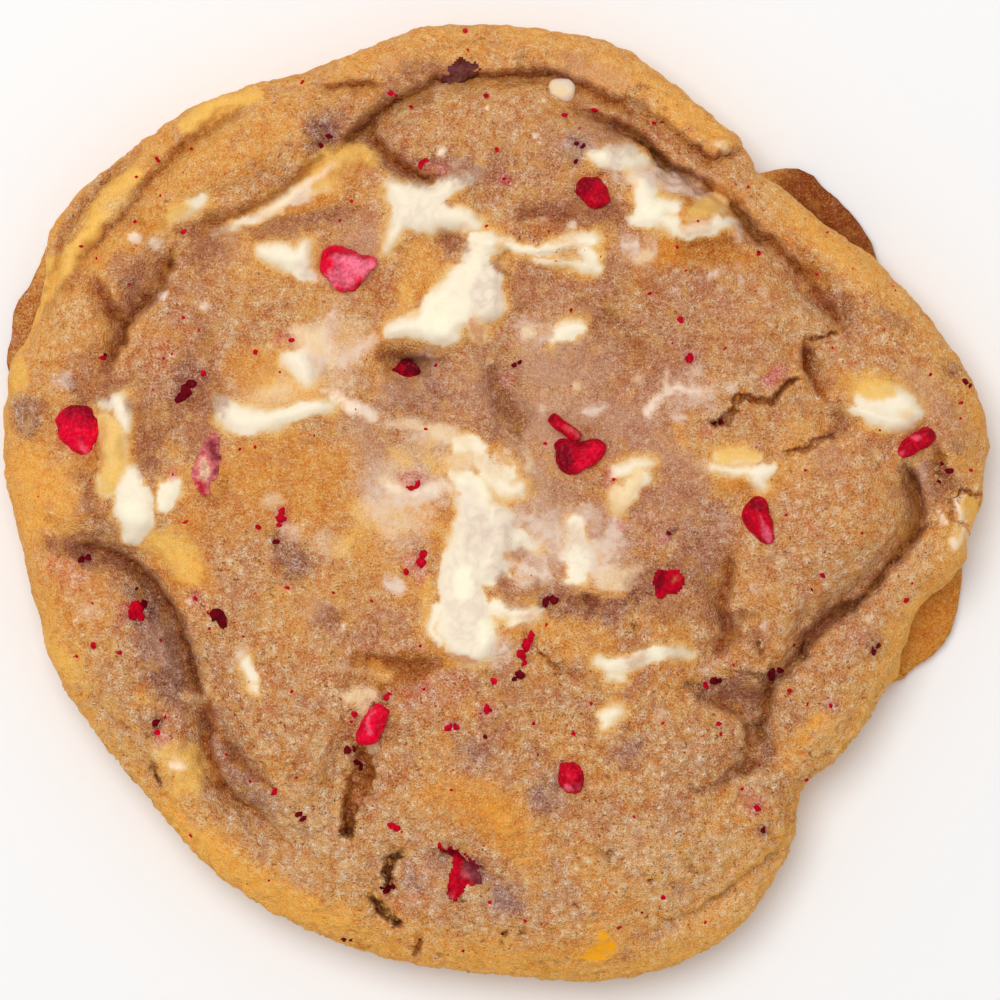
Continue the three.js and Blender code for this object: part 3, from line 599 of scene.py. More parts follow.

# Broad tints of the crust, then the painted shade and stains of its folds. Its cocoa strokes
# are painted shade under lips and in hollows, over the dough's own browning.
tints_and_shade = [
    ("taupe", 5, 0.8, [(-11, 12, 2), (-6, 12.5, 2.5), (-1, 12, 3), (3, 9, 3), (8, 9, 3.5),
     (13, 9, 3.5)], [(5, 15, 3), (11, 15, 3)], [(4, 3, 2.5), (7, 0, 2.5), (6, -5, 3), (12, -3, 3)]),
    ("taupe", 4, 0.7, [(-14.5, 8, 2), (-13.5, 4, 2), (-13, 0, 2)], [(-17, 26, 2), (-14, 29, 2)],
     [(16, 7, 3), (19, 3, 3), (21, -1, 3)], [(19, 35, 2), (22, 35, 1.5)]),
    ("heather", 3, 0.75, [(-39.5, -10, 1.4), (-38, -13, 2), (-37, -16, 2), (-36, -19, 1.8),
     (-34.5, -21.5, 1.2)], [(-31.6, -23, 1), (-30.4, -26.5, 1.2), (-28.5, -29, 1.4), (-26.5, -31, 1.3),
     (-25, -32.6, 0.8)]),
    ("heather", 3, 0.75, [(-2.4, -27.4, 1.8)], [(5.2, -32.4, 1.5), (7, -30, 1)], [(0.6, -43.4, 1.5)],
     [(-6, -38.8, 1.2)], [(-22, -6.5, 1.4)], [(14.5, -27, 1.4)], [(-19.4, 40.5, 1.6)],
     [(-51.6, 10, 1.3)], [(-33.4, 13.6, 1.2)]),
    ("heather", 1.8, 0.7, [(8.6, 38.6, 1.2)], [(21.8, -4.2, 1.2), (22.8, -7.5, 1)], [(47.2, 2.5, 0.9),
     (46.6, -0.5, 0.9)], [(36.4, 22.6, 0.9)]),
    ("cocoa", 3, 0.75, [(-43.8, 12.5, 1)], [(-32.5, 16, 1.6), (-32, 12.5, 1.6), (-31.8, 10.8, 1)],
     [(-32.5, 8, 1.2), (-32.5, 5.5, 1)], [(16, -10, 1.6), (20, -11.5, 1.5)], [(8, -12, 1.2),
     (12, -11.8, 1.5)], [(-38.5, 23, 1.2), (-40, 25.5, 1)]),
    ("cocoa", 2.4, 0.85, [(-12.5, 37.8, 1), (-9.5, 36.6, 1.3), (-6.5, 36.8, 1.4), (-4.5, 37.2, 1)],
     [(3.5, 32, 1.3), (7, 31.9, 1.6), (10.5, 32, 1.8), (13.5, 31.6, 1)], [(-4.6, 28.6, 1.1)]),
    ("cocoa", 4, 0.5, [(0, 37, 2)], [(-32, 28, 1.5), (-28, 31.4, 1), (-24, 31.8, 0.8)], [(-16, 32, 1.5),
     (-18, 30.5, 1)], [(8, 40.5, 1.5)], [(22, -6, 2), (24, -12, 1.5)]),
    ("cocoa", 5, 0.6, [(11, 20.5, 2), (15, 17.5, 2.5), (20, 16.5, 2.5)], [(12, 24, 1.5)]),
    ("toast", 3, 0.65, [(-12, 23.8, 1.6), (-13.5, 21.5, 1.2)], [(-12.5, -19.8, 1.6), (-9, -18.8, 1.4)],
     [(-16, 33.5, 1)]),
    ("amber", 2.2, 0.6, [(-44.8, 5.2, 1), (-44.6, 2.5, 0.8)], [(-34, -8, 1.5), (-33, -3, 1.5)]),
    ("mauve", 6, 0.55, [(16, 26, 3), (22, 22, 5), (28, 18, 4)], [(-37, 14, 3), (-34, 10, 3)],
     [(-38, 24, 3), (-32, 22, 3)], [(-4, 12, 3), (0, 16, 2.5), (-2, 9, 2)], [(7, 34, 2.5), (5, 37, 2)]),
    ("mauve", 5, 0.45, [(2, 22, 3), (6, 22, 3), (9, 17, 2.5)], [(-15, -14, 3), (-12, -11, 3)],
     [(1, -20, 2), (4, -22, 2)], [(-38, -22, 2.5), (-40, -26, 2)]),
    ("dusk", 4, 0.55, [(-35, 10.5, 1.8), (-36, 8, 1.8)], [(17, -8, 1.5), (22, -6, 2.5), (23.5, -1, 2)],
     [(-13, 38.5, 1.2), (-10, 37, 1.5), (-6, 36.5, 1.2)], [(-10, 11, 2), (-7, 12, 2)]),
    ("dusk", 2, 0.7, [(4.5, -11.5, 1), (8, -11.5, 1.6), (12, -11.8, 1.5), (16, -9.5, 1.2)]),
    ("gold", 5, 0.7, [(-26, 3, 4), (-19, 3, 4), (-22, -1, 3)], [(-14, -4, 3), (-10, -9, 2)],
     [(-44, 24, 2), (-40, 29, 2.5), (-36, 33, 3), (-30, 37, 3), (-24, 40, 3)]),
    ("gold", 4, 0.65, [(-36, -34, 2.5), (-30, -40, 2.5), (-20, -45.5, 2.5), (-8, -49, 2.5),
     (2, -50.5, 2), (14, -50, 2), (24, -46.5, 2.5), (29, -41, 2)], [(50, -4, 2), (47, -12, 2.5),
     (41, -20, 2.5), (36, -26, 2.5)]),
    ("amber", 5, 0.45, [(-51, 6, 3), (-51, -4, 3), (-49, -14, 2)], [(-47, 3, 2.5), (-47.5, -1, 2)],
     [(-4, -31, 2.5), (1, -35, 3.5), (5, -37, 2)]),
    ("amber", 2.4, 0.9, [(17, 27.4, 1.3), (20, 27.8, 1.7), (23.5, 27.8, 1.8), (27, 27, 1.2)]),
    ("rust", 2, 0.4, [(21, 28.6, 0.6), (24, 28.4, 0.8), (26, 27.8, 0.6)]),
    ("honey", 3, 0.6, [(-26, 14, 2.5), (-21, 17, 2)], [(21, 31, 1.5), (25, 31.5, 2)]),
    ("cream", 4, 0.45, [(-28, 11, 2), (-23, 12.5, 3), (-18, 14, 2.5), (-16, 18, 2)], [(-12, -1, 2),
     (-9, 4, 2)]),
    ("milk", 4, 0.4, [(-12, 2, 3), (-8, 1, 3), (-10, -3, 2.5)], [(3, -1, 2), (5, -4, 2.5), (8, -3, 2.5),
     (11, -5, 3), (9, -8, 2)]),
    ("milk", 3, 0.3, [(4, 18.5, 2), (8, 19, 2)], [(17.5, 12.5, 1.5), (22, 12, 1.4)]),
    ("gold", 3, 0.6, [(-53, 14, 1.5), (-52, 3, 3), (-50, -4, 3.5)]),
    ("gold", 3, 0.55, [(-32, -38, 2.5), (-29, -40.5, 2.2), (-26, -42.3, 2.2), (-23, -43.8, 2),
     (-20, -45, 1.8), (-16, -46.5, 1.5), (-12, -48.7, 1)]),
    ("gold", 2, 0.6, [(8, 48.5, 2), (14, 47, 2.4), (20, 43, 2.2), (25, 39.6, 1.8)]),
    ("gold", 2, 0.5, [(30, 34, 1.2), (34, 31, 1.6), (37.5, 27.5, 1.4)]),
    ("gold", 2, 0.6, [(31.5, -28.5, 1), (33, -27, 1.5), (34.5, -25.5, 1.8), (36, -24.5, 1.5)]),
    ("gold", 2.5, 0.5, [(20, -48.5, 1.8), (26, -45, 2), (29.5, -41, 1.6)]),
    ("gold", 1.5, 0.5, [(-18, 47, 1), (-16, 48, 1.2), (-13, 48.5, 1.2), (-10, 48.8, 1)]),
    ("gold", 1.5, 0.8, [(-9, 28, 1.2), (-8.5, 26, 2.2), (-8.8, 24, 2)]),
    ("gold", 1.5, 0.7, [(5, -14, 1), (8, -14, 1.5), (11, -15, 1.8), (8.5, -16, 1.5), (12, -15.5, 1.2)]),
    ("amber", 3, 0.5, [(-30, 2, 2), (-25, 4, 3.5), (-20, 4, 3), (-18, 0, 2.5)], [(-33, -2, 2),
     (-28, -1, 3), (-24, 1, 3)]),
    ("gold", 3, 0.85, [(-7.6, -31.8, 1.6), (-3, -32.6, 2.4), (0.6, -34.4, 2.8), (2.6, -37, 2.4),
     (3.6, -39.4, 1.8)]),
    ("amber", 2.5, 0.6, [(-3, -32.6, 1.6), (0, -34.4, 2.2), (1.8, -36.8, 1.8)], [(-6.6, -32.4, 1)]),
    ("apricot", 2, 0.4, [(-0.6, -33.6, 1.2), (1, -35.2, 1.2)]),
    ("amber", 1.5, 0.55, [(-37.5, -7, 0.6), (-36.5, -8.3, 0.8), (-35.5, -9.5, 1), (-34.3, -11, 1),
     (-33.5, -12.5, 0.8)]),
    ("amber", 1.4, 0.65, [(-29.5, 15, 1), (-27.5, 15.5, 2), (-25, 15, 1.6), (-27, 13, 1.6)]),
    ("amber", 1.2, 0.7, [(18.6, 29, 0.7), (18.8, 27.4, 0.9), (17.8, 26.3, 1)]),
    ("amber", 1.6, 0.8, [(-36.6, -5.6, 1.6), (-34.4, -6.8, 2.2), (-32.6, -8, 1.8), (-31.6, -9, 1.2)]),
    ("honey", 2.2, 0.85, [(-38, -4.6, 1), (-36, -4.6, 1.6), (-34.4, -6, 1.8), (-33.4, -7.2, 1.2)]),
    ("apricot", 1.6, 0.5, [(-34.8, -6.4, 1), (-33, -7.8, 1.2)]),
    ("honey", 1.2, 0.6, [(-37.4, -4, 0.7), (-35.8, -4.2, 0.9)]),
    ("honey", 2, 0.9, [(-36, -27.6, 1.8), (-34.2, -28.6, 2.2), (-34, -30.6, 1.8)]),
    ("honey", 1, 0.8, [(-50, -14.5, 0.8), (-49.5, -16, 1), (-48.2, -16.8, 1), (-47, -18, 1),
     (-46.3, -19.2, 0.8)]),
    ("honey", 0.6, 1, [(-51, 20.5, 0.7), (-50.6, 23, 1.4), (-49, 25.4, 1.6), (-47, 26.6, 1.3),
     (-45.6, 28.4, 1.1), (-44, 30.6, 1), (-42.9, 32.5, 1.6), (-41, 34.6, 1.7), (-39.8, 36, 1)],
     [(-33.8, 41.6, 1.1), (-31.5, 43, 1.4), (-29, 44, 1.2), (-26.8, 45, 0.9)]),
    ("honey", 0.8, 0.7, [(-52.8, 16, 0.8), (-52.3, 14, 1), (-53, 12, 0.6)]),
    ("honey", 1.2, 0.7, [(38.5, 12.5, 1.5), (41, 12.8, 1.8), (43.5, 12.3, 1.6)]),
    ("honey", 1, 0.5, [(-15, -0.5, 1.2), (-12, -2, 1.5), (-9, -1.5, 1.5), (-8, -0.5, 1)],
     [(-24.5, 12.5, 1.5), (-22.3, 12.2, 1)]),
    ("amber", 0.9, 0.75, [(-5.2, -1.3, 0.7), (-6.4, -2, 1.2), (-7, -3.6, 1.1), (-5.8, -4.3, 0.6),
     (-7.6, -5, 0.5)]),
    ("amber", 1, 0.5, [(34.8, 30.4, 0.4), (35.6, 29.8, 0.6)], [(36, 13, 1.2), (37.5, 13.5, 1.5)]),
    ("sand", 0.6, 0.8, [(-17, -28.5, 0.3), (-17.3, -31.5, 0.3), (-17.8, -34, 0.25)], [(27, -18.3, 0.25),
     (29, -18.2, 0.3), (31, -18.2, 0.2)]),
    ("gold", 1.5, 0.8, [(-39, -21.5, 1.3)], [(9.6, -49.4, 1.2), (11.4, -47, 1.2)]),
    ("mauve", 1.2, 0.7, [(14.5, -49.8, 0.8)], [(17, -47.3, 1.2)], [(-11.5, 46, 1.1)],
     [(-38.5, -25.7, 0.7)]),
    ("sand", 3, 0.4, [(-47, 20, 2)], [(44, -10, 2), (46, -6, 2)], [(34.5, 20.5, 2.5)]),
    ("sand", 1.5, 0.7, [(-24, -12.5, 1.2)], [(27, -31, 1.4), (29.5, -30.5, 1.2)]),
    ("cream", 1.2, 0.5, [(-12, 4, 1), (-9, 6.5, 1.2), (-6, 6.5, 1.6), (-3.5, 6, 1.5)], [(-26, 11, 1),
     (-23.5, 11.6, 1.3), (-21.5, 12.5, 1.5)]),
    ("cream", 1.2, 0.4, [(-19, -4.3, 1), (-17, -5, 1)], [(-35, -28.6, 1)], [(22.8, 4, 1)]),
    ("cream", 0.8, 0.6, [(-25, 0.2, 0.7), (-23.2, 0.3, 0.4)]),
    ("mauve", 3, 0.55, [(14, 29, 1.2), (13, 26, 1.5), (12.8, 24, 1.5)], [(20, 16, 2.5)], [(12, 12, 2),
     (14, 15, 2)], [(6, 23, 2.2), (10, 22.5, 2)]),
    ("mauve", 3, 0.6, [(20, 2, 2.5), (8, 1.8, 2)], [(23, -5.3, 2), (24, -2, 2)], [(40, -15, 2)],
     [(18, -1.5, 2.5), (14, -3, 2.5)]),
    ("mauve", 2, 0.6, [(-41, 25.5, 2), (-38.5, 24.5, 2.2), (-39.5, 22, 1.6)], [(-44.5, 14, 2)],
     [(-20, 47, 0.6), (-18, 47.9, 0.7)]),
    ("mauve", 2, 0.55, [(-2.2, -27.3, 1.8)], [(0, -24, 1.6)], [(4.3, -26.8, 1.2)], [(6, -32.5, 1.8)],
     [(14, -27.5, 1.8)], [(1.5, -43, 1.6)], [(19, -34, 2.2)], [(-11.5, -13.5, 2.5)]),
    ("mauve", 1, 0.6, [(10, 44, 0.8), (12.5, 43.2, 0.9), (15, 42, 0.9), (17.5, 40.2, 0.8)],
     [(12.5, 6.8, 1), (14.5, 5.8, 1)]),
    ("rose", 3, 0.3, [(-49.5, -5, 1.6), (-46, -8.5, 2)], [(-9, -20.5, 2), (-5, -20.5, 2)],
     [(-8, -41, 2)], [(-36, -24.5, 1.6)], [(28, -32.5, 1.4)], [(-9, -43.5, 1.4)]),
    ("coral", 2, 0.5, [(-37, 16.5, 2.2)], [(15, -18.5, 1.5), (18, -18.3, 1.5), (20, -18, 1.2)],
     [(2.5, 29, 0.6), (5, 29.6, 1.1), (7.3, 29.4, 1)]),
    ("coral", 1.2, 0.6, [(-33, -10, 0.8), (-32, -10.8, 0.8), (-31.5, -11.7, 0.6)], [(30, 13.3, 0.7),
     (30.8, 14.3, 0.7)], [(37.8, 11.8, 0.7)], [(23, 7, 0.7)]),
    ("dusk", 2.2, 0.8, [(-38.5, -9.5, 1.6), (-37.5, -12, 2.2), (-36.8, -15, 2.2), (-36.5, -18, 1.9),
     (-36.2, -20, 1.5)]),
    ("dusk", 2, 0.7, [(-22.5, -5.8, 1.8), (-22, -7, 1.6)], [(-51.8, 9.5, 1.6)], [(-18.8, 41.5, 1.9),
     (-19.5, 39.2, 1.5)], [(8.4, 38.4, 1.3), (9.4, 39.4, 1.1)], [(49.8, 14.5, 1)], [(41.7, -15.8, 0.9)],
     [(12.2, -38.3, 1)], [(-18.5, -12.5, 1.5)]),
    ("dusk", 1.4, 0.5, [(-30, -29, 0.8), (-28.5, -30.5, 1.3), (-27, -31.8, 1.2), (-25.5, -33, 0.9)],
     [(-31.8, -23.8, 0.6), (-31, -26, 0.6)]),
    ("dusk", 1.5, 0.85, [(22, -20.8, 0.8), (24.5, -20.8, 1.3), (27, -20.5, 1.5), (29.5, -20.3, 1)],
     [(28, -22.3, 1), (29.3, -25.5, 0.9), (29.8, -27.5, 0.8)]),
    ("dusk", 1.2, 0.8, [(-34, 14.5, 1.3), (-34, 12.8, 1.4)], [(13, -11, 0.8), (14.8, -10.3, 0.9),
     (16.3, -9.2, 0.9), (17, -8.2, 0.7)], [(35.6, 23.8, 0.7), (36.6, 22.6, 1), (37.6, 21.4, 0.8),
     (38.3, 20.3, 0.5)], [(44.8, 4, 0.8), (45.5, 2, 1.2), (46, 0, 1.3), (46, -1.8, 1.2)]),
    ("milk", 1.2, 0.45, [(21.5, 14.3, 1.3), (20.5, 13.4, 1)], [(20, 11, 1), (22, 11.2, 1),
     (24, 10.8, 0.8)], [(47, 4.5, 0.8), (47.3, 3, 0.6)], [(25, -2.2, 0.9)], [(-44.5, -12, 1)],
     [(17.8, -23.3, 0.6)]),
    ("apricot", 3, 0.6, [(-35, -34, 1.6), (-30, -39, 1.8), (-24, -43, 1.6), (-17, -46.2, 1.4)],
     [(35.5, -24.5, 1.6), (33.5, -28, 1.4)], [(28, -42, 1.4), (24, -45.8, 1.6), (19, -48.8, 1.4)],
     [(46.8, -11.6, 0.8)]),
    ("apricot", 3, 0.45, [(-51, 4, 2), (-50.6, -2, 2)], [(12, 47.6, 1.4), (18.5, 44.6, 1.4),
     (23.6, 41, 1.2)], [(30.5, 33.6, 0.8), (35, 29.6, 0.9), (40, 24.6, 1.2)]),
    ("tan", 0.6, 0.9, [(-47.5, 28.8, 0.8), (-46.5, 31.5, 0.8), (-44, 34.8, 0.7), (-41.5, 37.4, 0.9)]),
]

# Painted shade in the valleys, pockets and cracks, browner the deeper they go, over the
# dough's own browning there, with some stains, pits and pale patches among it.
fold_shade_and_stains = [
    ("brown", 1.2, 0.7, [(-18, 38.3, 0.5), (-16.5, 39.5, 0.6), (-15.5, 40.7, 0.8), (-14.5, 41.8, 0.9),
     (-13.5, 42.8, 0.9), (-12.7, 43.6, 0.9), (-11.5, 44.5, 0.8), (-10.3, 45, 0.8), (-9, 45.9, 0.8),
     (-7.5, 46.2, 0.8), (-6.5, 46.5, 0.6)], [(2.5, 47.2, 0.5), (4.5, 47.3, 0.6), (6.5, 47.3, 0.5),
     (8, 46.9, 0.5), (9.5, 46, 0.5), (11, 45.3, 0.4), (12.5, 44.6, 0.5), (13.8, 43.8, 0.5)]),
    ("rust", 0.9, 0.8, [(8, 43.2, 0.5), (10.5, 42.5, 0.6), (12.5, 41.8, 0.7), (14.5, 40.9, 0.8),
     (16, 39.9, 0.8), (17.5, 38.6, 0.8), (19, 36.9, 0.8), (20.5, 36.6, 0.8), (21.5, 35.7, 0.8),
     (23.5, 34.5, 0.8), (25.5, 33, 0.8), (27, 32, 0.8), (28.2, 30.3, 0.8), (29, 29.8, 0.6)]),
    ("umber", 0.6, 0.6, [(11, 42.3, 0.1), (14.5, 40.9, 0.3), (17.5, 38.6, 0.35), (19.2, 36.7, 0.5),
     (20.8, 36.5, 0.5), (23.5, 34.5, 0.3), (27, 32, 0.35), (28.3, 30.2, 0.5), (29, 28.7, 0.4)]),
    ("rust", 0.6, 0.7, [(8, 46.6, 0.3), (10.2, 45.6, 0.35), (12.5, 44.4, 0.35), (13.7, 43.7, 0.4),
     (15.3, 43, 0.35), (16.5, 41.9, 0.3), (18.2, 41.1, 0.2)], [(-1.5, 47.1, 0.2), (-0.5, 47.3, 0.15)],
     [(0.3, 47.4, 0.15), (1.5, 47.1, 0.2), (2.5, 47.4, 0.2)], [(7, 47.2, 0.2), (7.7, 47.8, 0.2)],
     [(13.8, 44, 0.3), (14.3, 45, 0.35)], [(14.7, 45.1, 0.3), (15.6, 45.6, 0.3)], [(22.8, 38, 0.35),
     (23.4, 37, 0.4)], [(21, 38.8, 0.15), (23.5, 38.4, 0.2), (25.8, 38.5, 0.2)]),
    ("rust", 0.7, 0.85, [(-18.5, 45.7, 0.3), (-17, 45.9, 0.4), (-15, 46.2, 0.35), (-13.5, 46.3, 0.3)],
     [(-13.8, 45.6, 0.5), (-13, 45.3, 0.45)], [(30.2, 29.2, 0.3), (31.3, 28, 0.35), (32.5, 26.5, 0.5),
     (33.6, 25.8, 0.7), (34.8, 25.2, 0.8), (36, 24.6, 0.5)], [(20.2, 28.8, 0.3), (22, 28.7, 0.7),
     (24, 28.8, 0.7), (25.5, 28.8, 0.5)]),
    ("rust", 1.2, 0.5, [(21, 27.6, 1), (23.5, 27.3, 1.2), (25, 26.6, 0.8)], [(15, 17.2, 0.9),
     (16.2, 16.3, 1)], [(48.5, -1, 0.4)]),
    ("russet", 0.5, 0.7, [(33.5, 25.8, 0.3), (34.8, 24.3, 0.3), (35.8, 22.6, 0.3), (36.6, 21.3, 0.35),
     (37.4, 20.4, 0.4), (38, 19.5, 0.35), (38.4, 18.7, 0.3)], [(-6.8, 29.6, 0.5), (-5, 28.6, 0.8),
     (-4, 28.3, 0.6), (-3.3, 28.6, 0.4)]),
    ("brown", 0.8, 0.8, [(-12.6, 38.8, 0.7), (-11.5, 37.5, 0.9), (-9.5, 36.3, 0.9), (-7.5, 35.5, 0.7)],
     [(-12.6, 16.3, 0.6), (-10.5, 16.2, 0.9), (-8, 15.9, 1), (-5.8, 15.6, 0.7)], [(-0.5, 15, 0.4),
     (0.3, 12.5, 0.8), (1.2, 10.6, 1), (2.2, 8.8, 1), (2.4, 7.4, 0.6)], [(37, 8, 0.9), (38, 8.6, 0.9),
     (37.5, 9.8, 0.7), (36.6, 7.2, 0.6)], [(49, 1.6, 0.8), (50.5, 2, 0.9), (50, 0.4, 0.7)],
     [(10.8, 20.2, 0.8), (12.2, 20.6, 0.9), (13.6, 20, 0.7)]),
    ("brown", 1, 0.6, [(-31, 31.6, 0.7), (-28.5, 31.7, 0.6), (-26, 32.9, 0.7), (-24, 34.4, 0.6),
     (-21.5, 36.3, 0.5), (-18.5, 38, 0.4)], [(-24, 31.3, 0.5), (-20, 31.5, 0.6), (-17, 31.9, 0.5)],
     [(-37, 23.4, 0.8), (-38.6, 21.8, 0.8)], [(-33, 30, 0.6), (-32, 29.2, 0.6), (-31, 28.8, 0.5)],
     [(38.5, 22.5, 0.6), (39, 20, 0.6)], [(17, 13.5, 0.5), (17.8, 13.2, 0.4)], [(-31.8, 19, 0.4),
     (-31.8, 17, 0.5), (-32.3, 15.8, 0.4)], [(24.8, -13.2, 0.9), (26.6, -12.6, 1.2)]),
    ("rust", 0.9, 0.65, [(-27.8, 43.6, 0.2), (-31, 41.6, 0.3), (-33.5, 39.8, 0.4), (-35.5, 38.2, 0.5),
     (-37.5, 36.2, 0.5), (-39.3, 34.4, 0.4), (-39.8, 33, 0.5), (-39.3, 31.8, 0.5), (-38.6, 30.6, 0.4)],
     [(-49.5, 21, 0.4), (-47.8, 23.2, 0.5), (-46, 24.8, 0.5)]),
    ("toast", 1.4, 0.7, [(-45, 24.6, 0.9), (-43.6, 22.8, 1.3), (-42, 20.8, 1.2)]),
    ("rust", 0.8, 0.75, [(-41.2, 20.2, 0.5), (-40.4, 18.8, 0.5), (-41.2, 17.2, 0.4), (-42.4, 15, 0.4),
     (-43.2, 13.4, 0.3)], [(-35.3, 28.3, 0.5), (-35.9, 26.3, 0.6), (-36.3, 24.8, 0.4)],
     [(-39.2, 9.5, 0.8), (-38.8, 7, 1.2), (-39.5, 5, 0.6)]),
    ("umber", 0.5, 0.7, [(-42.8, 22, 0.15), (-41, 19.8, 0.35), (-40.5, 18.6, 0.35), (-41.7, 16.5, 0.25),
     (-42.6, 14.6, 0.2)], [(-35.6, 27.5, 0.25), (-36, 26, 0.3)], [(-12.5, 39.7, 0.4)]),
    ("rust", 0.8, 0.6, [(-46, 4.6, 0.6), (-44.5, 4.4, 0.6), (-44.6, 3, 0.4)], [(-43.8, 0.5, 0.6),
     (-43.4, -1.5, 0.8)], [(-49.8, 11.5, 0.3), (-49.2, 9.8, 0.7), (-48.5, 9, 0.4)],
     [(-49.2, -1.8, 0.35), (-48.6, -1.7, 0.3), (-47.9, -2.5, 0.35)], [(-33.5, 10.8, 0.7),
     (-35, 10, 0.4), (-35.7, 9.3, 0.3)], [(-32, 0.6, 0.8), (-30.5, 0.4, 0.7), (-29.6, 2.5, 0.5)]),
    ("brown", 1.4, 0.8, [(-47.5, -4.6, 0.9), (-46, -4.2, 1.2), (-44.2, -4.1, 1.2), (-42.8, -5, 1),
     (-41.6, -6, 1), (-40.2, -7, 0.9), (-38.6, -8.6, 0.8), (-36.6, -10.6, 0.8), (-35.1, -12.6, 0.7),
     (-34.3, -14.5, 0.6), (-33.8, -16.5, 0.4), (-33.2, -18.6, 0.4)]),
    ("umber", 0.5, 0.6, [(-44.5, -4.4, 0.5), (-42.4, -5.6, 0.4), (-40.8, -7, 0.3), (-38.2, -8.6, 0.2)],
     [(-34.1, -14.9, 0.2), (-33.7, -17, 0.22), (-33.2, -18.8, 0.22), (-32.9, -20, 0.4)]),
    ("rust", 0.6, 0.85, [(-31.6, -22.3, 0.5), (-31.3, -23.5, 0.6), (-30.8, -24.5, 0.6),
     (-30.2, -25.5, 0.5), (-29.7, -26.3, 0.4)], [(-33.3, -24.2, 0.3), (-33.6, -24.7, 0.2)],
     [(-31.9, -26, 0.4), (-31.6, -27, 0.5), (-31.2, -28.3, 0.6), (-30.8, -29.4, 0.5),
     (-30.4, -31.2, 0.35), (-29.5, -31.8, 0.3), (-28.5, -32.5, 0.3), (-27.2, -33.3, 0.28),
     (-26, -34, 0.28), (-25.4, -34.9, 0.32), (-24.7, -35.8, 0.35), (-23.8, -36.8, 0.3),
     (-22.9, -37.6, 0.2)], [(-29.5, -27.8, 0.35), (-28.3, -28.6, 0.3), (-26.5, -29.8, 0.28),
     (-25.2, -30.6, 0.28), (-24, -31.3, 0.25)], [(-43.2, -22.6, 0.2), (-41.3, -24, 0.3),
     (-40, -25, 0.25)], [(-44.5, -21.3, 0.2), (-43.7, -21.8, 0.25)]),
    ("umber", 0.4, 0.85, [(-38.2, -27.7, 0.25), (-38, -28.5, 0.35)], [(-37.4, -29.2, 0.35),
     (-37.3, -29.7, 0.3), (-36.9, -31, 0.15)], [(-37.4, -23.3, 0.3), (-36.9, -24, 0.5),
     (-37.3, -24.5, 0.4)], [(-38.3, -25.4, 0.25)], [(-35.2, -21, 0.12), (-34.8, -20.5, 0.15),
     (-34.2, -20.3, 0.12)], [(-31.9, -21.9, 0.2)]),
    ("rust", 0.7, 0.9, [(-15.5, -17.2, 0.8), (-12, -17.4, 0.9), (-9.5, -17, 0.9), (-8, -18.3, 1.1),
     (-10.5, -19, 1), (-5.5, -17.6, 0.5)], [(-12.6, -19.8, 0.6), (-12.4, -20.8, 0.4)]),
    ("rust", 0.9, 0.6, [(-16.9, -20.5, 0.5), (-16.3, -19.5, 0.6), (-15, -19, 0.5)],
     [(-16.4, -23.4, 0.5), (-16, -25.4, 0.5)], [(-11.8, -23.8, 0.8), (-11.2, -24.8, 0.8),
     (-12, -25.4, 0.6)]),
    ("rust", 0.4, 1, [(-15.6, -25.8, 0.4), (-14.6, -27.5, 0.9), (-14.5, -29.5, 1.3),
     (-15.2, -31.5, 1.2), (-16, -33.5, 0.9), (-16.4, -35.5, 0.8)]),
    ("umber", 0.8, 0.5, [(-14.3, -28, 0.4), (-14.2, -29.6, 0.6), (-15.8, -32, 0.5), (-16.2, -34, 0.6),
     (-16.3, -36, 0.7)]),
    ("umber", 0.35, 0.95, [(-10.3, -38, 0.3), (-11, -38.8, 0.45), (-11.8, -40, 0.5),
     (-11.9, -41.3, 0.35)], [(-14.2, -43.1, 0.3), (-13.2, -43.5, 0.5), (-12.7, -44.6, 0.55),
     (-11.8, -45.3, 0.5), (-10.9, -45.8, 0.35), (-11.3, -46.6, 0.2)], [(-16.9, -36.2, 0.4),
     (-15.8, -36.4, 0.4)], [(0.7, -46.9, 0.4)], [(0.7, -48.2, 0.2)], [(2.8, -46.9, 0.35)],
     [(-3.6, -43.6, 0.35)], [(12.3, -37.8, 0.15), (12.6, -39.2, 0.15)], [(10.6, -45.2, 0.3)],
     [(8.7, -43.9, 0.2)]),
    ("rust", 0.4, 0.8, [(-8.2, -47.2, 0.35), (-8.6, -48.4, 0.4), (-9, -49.7, 0.3)], [(-5.5, -49.2, 0.2),
     (-6.5, -50.1, 0.2)], [(-18.9, -43.7, 0.35)], [(15.2, -40.2, 0.2), (16.5, -41, 0.22),
     (17.2, -41.8, 0.2)], [(17.2, -42.5, 0.15), (18.3, -43, 0.2)], [(20.3, -39.2, 0.15),
     (21.3, -39.3, 0.15), (22, -40.2, 0.22), (22.4, -41, 0.2)], [(18.6, -41.6, 0.15),
     (20.2, -43, 0.15)], [(15, -47.4, 0.3)], [(15, -50.4, 0.35)], [(4.7, -16, 0.2), (5.5, -17, 0.28),
     (6.3, -17.9, 0.25), (7.5, -18.3, 0.2), (8.5, -18.8, 0.2)], [(-22.8, -30, 0.15),
     (-22.6, -29.3, 0.15), (-22, -29.1, 0.15), (-21.5, -28.6, 0.12)], [(28.5, -14, 0.25),
     (29, -15.4, 0.3), (29.3, -16.8, 0.25)]),
    ("rust", 1, 0.7, [(24, -16.6, 0.5), (25, -15.2, 0.7), (26, -14, 0.8)], [(25.4, -5, 0.3),
     (25.8, -7, 0.4), (25.5, -9, 0.35), (25, -10.8, 0.4), (25.5, -12.5, 0.5)], [(24.5, -22.3, 0.4),
     (26, -23, 0.4), (27.2, -23.7, 0.4)], [(27.6, -25, 0.45), (28.2, -26.5, 0.5), (28.8, -27.8, 0.5)]),
    ("umber", 0.5, 0.8, [(26.2, -18.3, 0.28), (27.5, -18.6, 0.3), (29, -18.9, 0.3), (30.2, -18.9, 0.4)],
     [(20.3, -20.2, 0.3), (21.3, -19.7, 0.4), (22, -19.9, 0.3)], [(22.2, -31.3, 0.25)],
     [(21, -30.3, 0.2)]),
